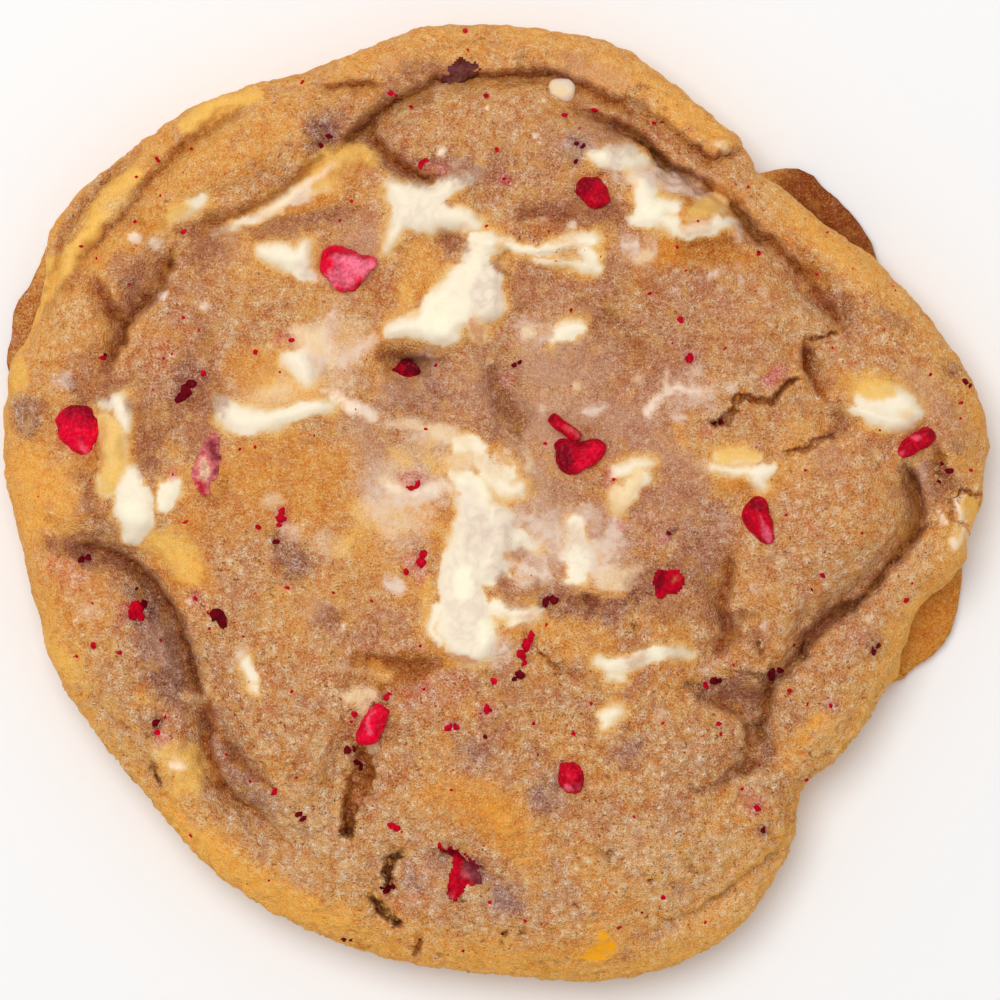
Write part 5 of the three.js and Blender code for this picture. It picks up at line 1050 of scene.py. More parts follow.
# Where the crumbs of raspberry lie, each with its radius. The larger ones stain the crust.
least_stain = 0.27
crumb_places = {
    "crimson": [(-39.4, -11.6, 0.75), (-39, -12.3, 0.6), (-39.9, -12.2, 0.5), (-44.1, -15.6, 0.38),
        (-41.3, -16.4, 0.28), (-46, -16.8, 0.2), (-44.2, -11, 0.18), (-36.8, -15, 0.2),
        (-36.3, -23.5, 0.22), (-37.2, -25.2, 0.4), (-29.6, -27.6, 0.2), (-27, -30.5, 0.22),
        (-24.3, -31.6, 0.35), (-21.8, -30, 0.22), (-22.3, -20.7, 0.25), (-11.5, -35.1, 0.5),
        (-10.9, -35.6, 0.35), (-10.3, -35.9, 0.18), (-33.6, -36.6, 0.2), (-25, -41.4, 0.2),
        (-22.8, -9.3, 0.25), (-17.8, -9.8, 0.18), (-13.6, -10.7, 0.2), (-26, -2.6, 0.28),
        (-34, -2.1, 0.25), (-27.6, -14.6, 0.2), (-23.4, -1, 0.5), (-23.5, -1.7, 0.5),
        (-23.7, -2.4, 0.3), (-8, -5.6, 0.5), (-8.2, -6.5, 0.5), (-9.8, -7.5, 0.35), (-9.4, 1.6, 0.4),
        (-8.6, 2.1, 0.4), (-32, 14.2, 0.3), (-37.5, 12.4, 0.15), (-36.3, 15.8, 0.2),
        (-35.4, 16.3, 0.15), (-44.4, 2.5, 0.15), (-42, 3.2, 0.15), (-43.2, 15.9, 0.3), (-40.3, 24, 0.2),
        (-34.2, 20.3, 0.2), (-32.5, 18.9, 0.15), (-26.3, 16.5, 0.25), (-22.4, 17.8, 0.28),
        (-23.6, 14.3, 0.18), (-28, 5.9, 0.2), (-26.3, 6.1, 0.2), (-35.3, 3.1, 0.22),
        (-39.7, 30.9, 0.28), (-34.3, 29.8, 0.3), (-33.5, 38.9, 0.2), (-36.8, 33.7, 0.2),
        (-37.2, 37.7, 0.3), (-39.5, 35.8, 0.22), (-45.6, 28.2, 0.2), (-43.9, 26.9, 0.18),
        (-21.3, 46.3, 0.22), (-11.5, 44.9, 0.35), (-11, 44.7, 0.2), (-9.3, 43.5, 0.22),
        (-1.1, 44.7, 0.35), (0.1, 38.6, 0.25), (7.5, 42.5, 0.28), (9.2, 41.1, 0.15), (10.8, 43.2, 0.25),
        (-8.1, 37, 0.42), (-7.6, 37.4, 0.3), (0.9, 35.4, 0.2), (1.4, 35, 0.15), (-3.4, 52, 0.25),
        (-3.1, 49.8, 0.18), (17.4, 41.8, 0.25), (18.3, 41.9, 0.2), (27.7, 34.7, 0.18),
        (36.5, 29.8, 0.15), (28.8, 27.4, 0.25), (22.1, 30.9, 0.22), (19.8, 28, 0.2), (20.8, 25.4, 0.15),
        (35.3, 25.1, 0.2), (-15.8, 33, 0.2), (-17.1, 30.9, 0.2), (-1, 30.3, 0.2), (5.8, 29.6, 0.18),
        (6.2, 31.4, 0.18), (11.4, 26.9, 0.18), (16.8, 22.9, 0.25), (20.2, 20, 0.35), (21.2, 15.9, 0.5),
        (25, 16.9, 0.2), (19.3, 17.5, 0.15), (8.2, 21.1, 0.2), (-11.5, 19.2, 0.18), (36.9, 17, 0.15),
        (47.7, 14.1, 0.22), (51.1, 11, 0.22), (51, 9.3, 0.18), (52.2, 3.6, 0.25), (33.8, 3.6, 0.15),
        (42, 8, 0.18), (5.4, 6.5, 0.2), (-3.7, 5.2, 0.2), (-7.7, 8.1, 0.2), (-6.6, 15.1, 0.2),
        (35.7, -7.9, 0.3), (45.1, -10.7, 0.35), (45.7, -8.8, 0.15), (40, -3.3, 0.18),
        (31.7, -1.3, 0.18), (32.7, -15.6, 0.22), (26, -17.8, 0.22), (32.2, -20.6, 0.28),
        (34.2, -22, 0.2), (36.7, -22.3, 0.28), (24.4, -24.2, 0.28), (24.6, -25.3, 0.18),
        (18.2, -24.1, 0.22), (10.4, -21.9, 0.2), (8.5, -25.2, 0.28), (4.1, -24.2, 0.25),
        (15.1, -34.3, 0.2), (28.6, -33.5, 0.42), (27, -31.3, 0.25), (34.2, -30.5, 0.22),
        (29, -28.8, 0.18), (18.3, -43.2, 0.25), (23, -46.1, 0.2), (13.5, -46.6, 0.25),
        (3.2, -45.7, 0.22), (-0.7, -43.7, 0.22), (-3.6, -49.2, 0.2), (-7.9, -20.3, 0.22),
        (-0.2, -19.5, 0.4), (-0.9, -22.6, 0.42), (-5.2, -24.5, 0.45), (-4.5, -24.4, 0.45),
        (-4.9, -31.4, 0.22), (-5.4, -7.5, 0.15), (-8.3, -15.6, 0.2), (5.5, -13.3, 0.2),
        (3.8, -14.7, 0.5), (3.4, -15.6, 0.55), (2.8, -16.6, 0.55), (3.1, -17.5, 0.3),
        (-12, -21.2, 0.35), (-11.6, -20.8, 0.25), (-15.5, -23.1, 0.35), (-15.8, -23.9, 0.2),
        (-32.8, -10.4, 0.28), (-31.5, -12, 0.22), (-31.4, -13.7, 0.2), (23, -19.8, 0.5),
        (12.9, 2.6, 0.2)],
    "wine": [(-38.6, -11.1, 0.5), (-39.5, -9.4, 0.2), (-45.5, -6.2, 0.35), (-44.8, -6, 0.4),
        (-37.3, -24.1, 0.35), (-21.6, -34.1, 0.4), (-21, -34.6, 0.4), (-30.7, -12.2, 0.6),
        (-30.2, -12.7, 0.7), (-29.8, -13.3, 0.4), (-24, -4.2, 0.35), (-42.9, 16.2, 0.25),
        (-34.4, 11.7, 0.7), (-33.9, 12.4, 0.7), (-33.3, 13.1, 0.5), (-16.3, -27, 0.42),
        (-15.6, -26.9, 0.35), (-15.1, -28.3, 0.42), (-14.7, -28.8, 0.35), (-16.7, -48, 0.4),
        (-16, -48.1, 0.25), (-1.2, -25.5, 0.25), (2.6, -18.8, 0.45), (2.1, -19.2, 0.3),
        (-11.9, -42.3, 0.45), (-12.5, -42.2, 0.28), (-11.3, -42.1, 0.3), (23.9, -19.5, 0.5),
        (24.5, -19.5, 0.35), (30.3, -18.8, 0.5), (31.2, -18.4, 0.38), (5.4, -10.8, 0.5),
        (6.3, -10.6, 0.55), (48.9, 4.2, 0.3), (49.8, 3.5, 0.35), (48.6, 2.5, 0.25), (51.6, 13.4, 0.32),
        (52.2, 12.9, 0.25), (2, 15.1, 0.28), (2.6, 15.4, 0.25), (8.7, 37.3, 0.25), (8.8, 39.3, 0.3),
        (9.5, 39, 0.3), (-18.4, 40.2, 0.4), (-19.2, 39.2, 0.3), (28.8, 27.5, 0.2), (23.7, 8.7, 0.35),
        (24.6, 8.8, 0.35), (34.6, -9.5, 0.2), (41.5, -16.2, 0.35), (42, -15.7, 0.25), (16, -44.8, 0.22),
        (29.3, -35.9, 0.28), (4.6, -27.5, 0.22), (0.7, -47.2, 0.2), (18.9, -3.3, 0.3),
        (-19.8, 7.4, 0.12)],
}

# Where the foot that spread beyond the round is browned: colour, place and reach.
feet = [("russet", 37.5, 32.5, 9.5), ("amber", 48, -14, 11), ("toast", -53, 19, 8)]


def melted_in(coat, co, lines, margin):
    """Lays melted chocolate on a coat: stained by butter round its edge, and paler and
    smoother inwards, over margins that are narrow in some places and broad in others."""
    depth = inside(co, lines)
    for name, outer, inner, strength in (("gold", -2.0, -0.3, 0.45), ("honey", -1.2, -0.1, 0.5),
                                         ("cream", -0.6, 0.3, 0.85), ("ivory", -0.1, 0.8, 1.0)):
        dye(coat, name, strength * smooth_step(outer * margin, inner * margin, depth))


def crust_coat(co):
    """The whole bake's colour at some points: the plain crust, patchy and rougher towards the
    bottom of the round, then all its strokes, painted shade among them, each layer over the ones
    before."""
    swayed = wandered(co)
    coat = np.tile(in_light("tan"), (len(co), 1))
    coat[:, 3] = 0.22 * smooth_step(-24, -8, co[:, 1])
    broad = np.array([noise.noise(Vector(point) * 0.13) for point in co])
    patches = np.array([noise.fractal(Vector(point) * 0.55, 1.0, 2.0, 3) for point in co])
    dye(coat, "sand", 0.34 * smooth_step(-26, -42, co[:, 1]) + 0.74 * smooth_step(-0.1, 0.8, patches))
    dye(coat, "coral", 0.5 * smooth_step(0.05, 0.8, -patches))
    dye(coat, "gold", 0.55 * smooth_step(-0.1, 0.5, broad))
    dye(coat, "gold", 0.4 * smooth_step(44, 51, np.hypot(co[:, 0], co[:, 1])))
    painted(coat, swayed, tints_and_shade)
    # Painted shade along every valley: broad brown on its banks, rust nearer its floor and a thin umber
    # line in the crease, stronger where it is deeper.
    for knots, outer, inner, sharp in valleys.values():
        near, distance, side, from_end, depth = measured(swayed, knots)
        bank = np.where(side > 0, outer, inner)
        bank = np.where(bank == min(outer, inner), 0.45 * bank, bank)
        amount = smooth_step(0.3, 1.7, depth) * smooth_step(-0.01, 2.0, from_end)
        for name, strength, width in (("brown", 0.4, 0.8 * bank), ("rust", 0.55, 0.4 * bank + 0.12),
                                      ("umber", 0.5, 0.24)):
            share = strength * amount * np.exp(-((distance / width) ** 2))
            coat[near] += (in_light(name) - coat[near]) * share[:, None]
    painted(coat, swayed, fold_shade_and_stains)
    wander = np.array([noise.noise(Vector(point) * 0.3 + Vector((9, 4, 2))) for point in co])
    margin = 0.22 + 0.85 * smooth_step(-0.35, 0.4, wander)
    for lines in [*melted.values(), *smears.values(), *slumped.values()]:
        melted_in(coat, swayed, lines, margin)
    painted(coat, swayed, runs)
    painted(coat, swayed, late_shade_and_stains)
    stains = [[place] for places in crumb_places.values() for place in places
              if place[2] > least_stain]
    painted(coat, swayed, [("plum", 1.3, 0.5, *stains)])
    return coat


def wear_coat(piece, coat):
    """Stores a coat on the piece's points for its finish to read."""
    colour = piece.data.attributes.new("coat", "FLOAT_COLOR", "POINT")
    opaque = np.column_stack([coat[:, :3], np.ones(len(coat))])
    colour.data.foreach_set("color", opaque.ravel())
    smoothness = piece.data.attributes.new("smoothness", "FLOAT", "POINT")
    smoothness.data.foreach_set("value", coat[:, 3].copy())


co = points_of(dough)
coat = crust_coat(co)
level = co[:, 2]
# Painted shade where the dough lies deeper than the crust round it, browner as well as
# darker, and painted highlight where it stands proud.
deep = evened(level, edges_of(dough), 16) - level
coat[:, :3] *= 1 - np.outer(smooth_step(0.15, 1.2, deep), (0.14, 0.46, 0.7))
coat[:, :3] *= (1.02, 0.965, 0.955)
coat[:, :3] *= 1 + 0.11 * smooth_step(0.08, 0.6, -deep)[:, None]
# The side is buttery gold down to a browned foot, and where the foot spread out beyond
# the round its top is browned too.
radius = np.hypot(co[:, 0], co[:, 1])
leaning = (normals_of(dough)[:, :2] * co[:, :2]).sum(1) / np.maximum(radius, 1)
# Painted light: the outward-facing side near the rim is drawn towards bright apricot, more so towards
# the bottom of the round, away from the lamp.
outward = smooth_step(0.35, 0.8, leaning) * smooth_step(42, 47, radius)
outward *= 0.28 + 0.34 * smooth_step(5, -25, co[:, 1])
dye(coat, "apricot", outward)
dye(coat, "apricot", 0.72 * (1 - smooth_step(3, 9, level)))
blotches = np.array([noise.fractal(Vector(point) * 0.22, 0.8, 2.0, 3) for point in co])
foot = (1 - smooth_step(0.5, 4.6, level + 1.6 * blotches)) * smooth_step(0.05, 0.4, level)
dye(coat, "toast", 0.6 * foot)
dye(coat, "toast", level < 0.05)
low_dough = 1 - smooth_step(3.2, 5.2, level)
for name, x, y, reach in feet:
    browned = smooth_step(reach, 0.6 * reach, np.hypot(co[:, 0] - x, co[:, 1] - y))
    dye(coat, name, 0.95 * browned * low_dough)
wear_coat(dough, coat)


# A finish of grains, pores and fine bumps over the coat; smooth places have few of them.
def shader_node(tree, kind, settings=None, **inputs):
    made = tree.nodes.new("ShaderNode" + kind)
    for name, value in (settings or {}).items():
        setattr(made, name, value)
    for name, value in inputs.items():
        number = name.removeprefix("in_")
        socket = made.inputs[int(number) if number.isdigit() else name.replace("_", " ")]
        if isinstance(value, bpy.types.NodeSocket):
            tree.links.new(value, socket)
        else:
            socket.default_value = value
    return made


def reckon(tree, operation, a, b=0.0):
    return shader_node(tree, "Math", {"operation": operation}, in_0=a, in_1=b).outputs[0]


def ramp(tree, value, low, high, start=0.0, end=1.0):
    return shader_node(tree, "MapRange", {"interpolation_type": "SMOOTHSTEP"}, Value=value,
                       From_Min=low, From_Max=high, To_Min=start, To_Max=end).outputs[0]


def baked_finish(name, grain=1.0, smooth_roughness=0.5, soft=0.0, relief=0.18):
    finish = bpy.data.materials.new(name)
    finish.use_nodes = True
    tree = finish.node_tree
    shader = tree.nodes["Principled BSDF"]
    place = shader_node(tree, "TexCoord").outputs["Object"]
    coat = shader_node(tree, "Attribute", {"attribute_name": "coat"}).outputs["Color"]
    smooth = shader_node(tree, "Attribute", {"attribute_name": "smoothness"}).outputs["Fac"]
    crumb = ramp(tree, smooth, 0.0, 1.0, grain, 0.12 * grain)
    coarse = reckon(tree, "MULTIPLY", crumb, crumb)

    def pattern(scale, detail, roughness=0.5):
        return shader_node(tree, "TexNoise", Vector=place, Scale=scale, Detail=detail,
                           Roughness=roughness).outputs["Fac"]

    # Grains of half a millimetre and less, and broader clumps with creases between them where
    # the crumb is coarse. The colour follows this relief all over: painted shade in its hollows,
    # painted highlight on its tops.
    fine = reckon(tree, "SUBTRACT", pattern(5200.0, 1.0, 0.6), 0.5)
    middle = reckon(tree, "SUBTRACT", pattern(2300.0, 2.0, 0.6), 0.5)
    clumps = shader_node(tree, "TexVoronoi", Vector=place, Scale=900.0).outputs["Distance"]
    lumpy = reckon(tree, "MULTIPLY", reckon(tree, "SUBTRACT", 0.52, clumps), coarse)
    height = reckon(tree, "ADD", reckon(tree, "MULTIPLY", fine, 1.9),
                    reckon(tree, "MULTIPLY", middle, 1.15))
    height = reckon(tree, "ADD", reckon(tree, "MULTIPLY", height, crumb),
                    reckon(tree, "MULTIPLY", lumpy, 0.75))
    strength = reckon(tree, "SUBTRACT", 0.9, reckon(tree, "MULTIPLY", height, 1.1))
    toned = shader_node(tree, "Gamma", Color=coat, Gamma=strength).outputs["Color"]

    def stirred(colour, shown, share, tone):
        amount = reckon(tree, "MULTIPLY", reckon(tree, "MULTIPLY", shown, crumb), share)
        return shader_node(tree, "Mix", {"data_type": "RGBA"}, in_0=amount, in_6=colour,
                           in_7=tone).outputs[2]

    # Buttery and rosy patches, brown pits, pale crystals of a few tenths of a millimetre, and painted
    # glints on the tops of the finest grains.
    patches = pattern(520.0, 2.0, 0.6)
    tinted = stirred(toned, ramp(tree, patches, 0.5, 0.66), 0.42, (0.76, 0.37, 0.085, 1))
    tinted = stirred(tinted, ramp(tree, patches, 0.46, 0.32), 0.38, (0.52, 0.21, 0.13, 1))
    pits = reckon(tree, "MULTIPLY", ramp(tree, pattern(2100.0, 1.0, 0.7), 0.39, 0.29),
                  ramp(tree, pattern(420.0, 1.0), 0.3, 0.6))
    tinted = stirred(tinted, reckon(tree, "MULTIPLY", pits, crumb), 0.8, (0.22, 0.055, 0.014, 1))
    tinted = stirred(tinted, ramp(tree, pattern(2500.0, 1.0, 0.7), 0.6, 0.72), 0.36,
                     (0.96, 0.58, 0.2, 1))
    tinted = stirred(tinted, ramp(tree, fine, 0.16, 0.21), 0.36, (1.0, 0.7, 0.34, 1))

    # Specks of raspberry dust.
    dust = shader_node(tree, "TexVoronoi", Vector=place, Scale=430.0)
    chosen = ramp(tree, shader_node(tree, "SeparateColor", Color=dust.outputs["Color"]).outputs[0],
                  0.93, 0.95)
    spot = reckon(tree, "MULTIPLY", ramp(tree, dust.outputs["Distance"], 0.09, 0.04), chosen)
    dusted = shader_node(tree, "Mix", {"data_type": "RGBA"},
                         in_0=reckon(tree, "MULTIPLY", spot, reckon(tree, "MULTIPLY", crumb, 0.7)),
                         in_6=tinted, in_7=(0.36, 0.012, 0.03, 1)).outputs[2]
    tree.links.new(dusted, shader.inputs["Base Color"])

    bumps = shader_node(tree, "Bump", Height=height, Strength=1.0, Distance=relief * MM)
    tree.links.new(bumps.outputs["Normal"], shader.inputs["Normal"])
    crumb_roughness = 0.7
    tree.links.new(ramp(tree, smooth, 0.0, 1.0, crumb_roughness, smooth_roughness),
                   shader.inputs["Roughness"])
    shader.inputs["Specular IOR Level"].default_value = 0.06
    shader.inputs["Subsurface Weight"].default_value = soft
    shader.inputs["Subsurface Radius"].default_value = (1.0, 0.6, 0.35)
    shader.inputs["Subsurface Scale"].default_value = 0.8 * MM
    return finish


def wear(piece, finish):
    piece.data.materials.clear()
    piece.data.materials.append(finish)


crust_finish = baked_finish("baked_crust")
wear(dough, crust_finish)
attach(dough, "root")
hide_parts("dough")

# ---- Melted white chocolate --------------------------------------------------------------
# Chunks that melted in the oven and set again as low smooth pools, half sunk in the crust
# and stained by it. Each is a fine skin over its own lines, domed a little, with a
# rounded edge that dips into the dough.
chocolate_finish = baked_finish("melted_white_chocolate", grain=0.8, smooth_roughness=0.42,
                                soft=0.15, relief=0.1)
skin_grain = 0.24
skin_thickness = 0.6
crust_shape = BVHTree.FromObject(dough, bpy.context.evaluated_depsgraph_get())


def crust_level(x, y):
    """Height of the dough's surface at a place."""
    hit = crust_shape.ray_cast(Vector((x, y, overhead)) * MM, straight_down)[0]
    return hit.z / MM if hit else 0.0


def pour(name, lines, rise, edge=1.0, rounds=6):
    """A skin of chocolate over some lines with half widths, ending a little beyond them."""
    knots = np.vstack([np.array(line) for line in lines])
    low = (knots[:, :2] - knots[:, 2:]).min(0) - edge - 0.8
    high = (knots[:, :2] + knots[:, 2:]).max(0) + edge + 0.8
    across, along = high - low
    bpy.ops.object.select_all(action="DESELECT")
    bpy.ops.mesh.primitive_grid_add(x_subdivisions=int(across / skin_grain),
                                    y_subdivisions=int(along / skin_grain), size=MM)
    piece = bpy.context.active_object
    piece.name = name
    co = points_of(piece)
    co[:, 0] = low[0] + (co[:, 0] + 0.5) * across
    co[:, 1] = low[1] + (co[:, 1] + 0.5) * along
    depth = inside(wandered(co), lines)
    set_points(piece, co)

    # What lies outside the lines is cut away, and the rest laid over the crust.
    shape = bmesh.new()
    shape.from_mesh(piece.data)
    shape.verts.ensure_lookup_table()
    spare = [vertex for vertex, depth_here in zip(shape.verts, depth) if depth_here < -edge]
    bmesh.ops.delete(shape, geom=spare, context="VERTS")
    shape.to_mesh(piece.data)
    shape.free()
    co = points_of(piece)
    depth = inside(wandered(co), lines)
    ground = np.array([crust_level(x, y) for x, y in co[:, :2]])
    ends = edges_of(piece)
    settled = evened(ground, ends, rounds)
    settled = np.maximum(settled, ground - 0.12)
    swelling = np.array([noise.noise(Vector((x, y, 3)) * 0.45) for x, y in co[:, :2]])
    dome = rise * smooth_step(-0.35, 1.3, depth) * (1 + 0.45 * swelling)
    co[:, 2] = settled + dome - 0.3 * smooth_step(-0.1, -edge, depth)
    co[:, 2] = evened(co[:, 2], ends, 2)
    set_points(piece, co)
    if normals_of(piece)[:, 2].mean() < 0:
        piece.data.flip_normals()
    wear_coat(piece, crust_coat(co))
    bpy.context.view_layer.objects.active = piece
    finish_modifier("SOLIDIFY", thickness=skin_thickness * MM, offset=-1.0)
    bpy.ops.object.shade_smooth()
    wear(piece, chocolate_finish)
    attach(piece, "root")
    return piece


rises = {"middle": 0.7, "centre": 0.5, "upper_left": 0.55, "left_upper": 0.6, "left_lower": 0.6,
         "upper_right": 0.5}
for place, lines in melted.items():
    piece = pour("melted_" + place, lines, rises.get(place, 0.45))
    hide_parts("white_chocolate_" + place)
for place, lines in smears.items():
    pour("smear_" + place, lines, 0.22)

# ---- White chips -------------------------------------------------------------------------
# Three small chips of white chocolate: a button on the rim that kept its shape, and two
# bits between the pools that slumped and lie like dabs on the crust.


def star_shape(outline):
    """Reach of a closed outline in each direction from its middle."""
    points = curved(np.vstack([outline, outline[:1]]), steps=6)[:-1]
    angles = np.arctan2(points[:, 1], points[:, 0])
    order = np.argsort(angles)
    reach = np.hypot(points[:, 0], points[:, 1])[order]
    angles = angles[order]
    return (np.concatenate([angles - 2 * math.pi, angles, angles + 2 * math.pi]),
            np.tile(reach, 3))


boxy = 0.8  # below one, the sides of a lump stand steeper than a ball's


def lump(name, x, y, outline, height, sink, facets, grain, seed):
    """A rounded lump with a drawn outline, its surface broken into facets and grains."""
    bpy.ops.object.select_all(action="DESELECT")
    bpy.ops.mesh.primitive_ico_sphere_add(subdivisions=5, radius=MM)
    piece = bpy.context.active_object
    piece.name = name
    co = points_of(piece)
    flat = np.maximum(np.hypot(co[:, 0], co[:, 1]), 1e-6)
    angle = np.arctan2(co[:, 1], co[:, 0])
    angles, reach = star_shape(np.array(outline, float))
    radius = np.interp(angle, angles, reach)
    share = flat**boxy
    up = co[:, 2].copy()
    shaped = np.column_stack([np.cos(angle) * radius * share, np.sin(angle) * radius * share,
                              height * np.sign(up) * np.abs(up)**0.9])
    shift = Vector((seed * 7.1, seed * 3.7, seed))
    lumps = np.array([noise.noise(Vector(point) * 0.7 + shift) for point in shaped])
    cells = np.array([noise.voronoi(Vector(point) * 1.1 + shift)[0][0] for point in shaped])
    fine = np.array([noise.noise(Vector(point) * 3.2 + shift) for point in shaped])
    outward = co / np.linalg.norm(co, axis=1)[:, None]
    shaped += outward * (facets * (lumps - 0.6 * cells) + grain * fine)[:, None]
    shaped[:, 2] += crust_level(x, y) + height * (1 - 2 * sink)
    shaped[:, :2] += (x, y)
    set_points(piece, shaped)
    bpy.ops.object.shade_smooth()
    return piece, lumps, fine


x, y = 7.2, 45.3
chip_height = 1.0
chip_outline = [(-1.5, 0.4), (-1.1, 1.1), (-0.2, 1.4), (0.8, 1.3), (1.5, 0.6), (1.4, -0.4),
                (1.0, -1.2), (0.2, -1.4), (-0.6, -1.0), (-1.3, -0.5)]
chip, lumps, _ = lump("chip_rim", x, y, chip_outline, chip_height, 0.45, 0.1, 0.02, 3)
co = points_of(chip)
coat = np.tile(in_light("milk"), (len(co), 1))
dye(coat, "cream", smooth_step(-0.2, 0.3, lumps))
dye(coat, "honey", 0.5 * smooth_step(0.4, -0.4, co[:, 2] - crust_level(x, y)))
wear_coat(chip, coat)
wear(chip, chocolate_finish)
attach(chip, "root")
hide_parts("white_chip_rim")

for place, lines in slumped.items():
    chip = pour("chip_" + place, lines, 0.55)
    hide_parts("white_chip_" + place)

# ---- Raspberries -------------------------------------------------------------------------
# Broken pieces of freeze-dried raspberry, pressed into the dough before baking: dry,
# grained along their length, dark where they scorched and pink where they broke.
raspberry_finish = bpy.data.materials.new("dried_raspberry")
raspberry_finish.use_nodes = True
tree = raspberry_finish.node_tree
shader = tree.nodes["Principled BSDF"]
place = shader_node(tree, "TexCoord").outputs["Object"]
coat_colour = shader_node(tree, "Attribute", {"attribute_name": "coat"}).outputs["Color"]
grains = shader_node(tree, "TexNoise", Vector=place, Scale=2600.0, Detail=4.0,
                     Roughness=0.7).outputs["Fac"]
strength = ramp(tree, grains, 0.3, 0.7, 0.7, 1.36)
toned = shader_node(tree, "VectorMath", {"operation": "SCALE"}, in_0=coat_colour,
                    Scale=strength).outputs[0]
# Painted glints: faint specks of a brighter red over the grains.
glints = shader_node(tree, "TexNoise", Vector=place, Scale=1500.0, Detail=3.0).outputs["Fac"]
glinted = shader_node(tree, "Mix", {"data_type": "RGBA"}, in_0=ramp(tree, glints, 0.62, 0.8, 0.0, 0.12),
                      in_6=toned, in_7=(0.9, 0.12, 0.2, 1)).outputs[2]
tree.links.new(glinted, shader.inputs["Base Color"])
bumps = shader_node(tree, "Bump", Height=grains, Strength=0.9, Distance=0.2 * MM)
tree.links.new(bumps.outputs["Normal"], shader.inputs["Normal"])
shader.inputs["Roughness"].default_value = 0.5
shader.inputs["Specular IOR Level"].default_value = 0.04
shader.inputs["Subsurface Weight"].default_value = 0.08
shader.inputs["Subsurface Radius"].default_value = (1.0, 0.2, 0.15)
shader.inputs["Subsurface Scale"].default_value = 0.6 * MM

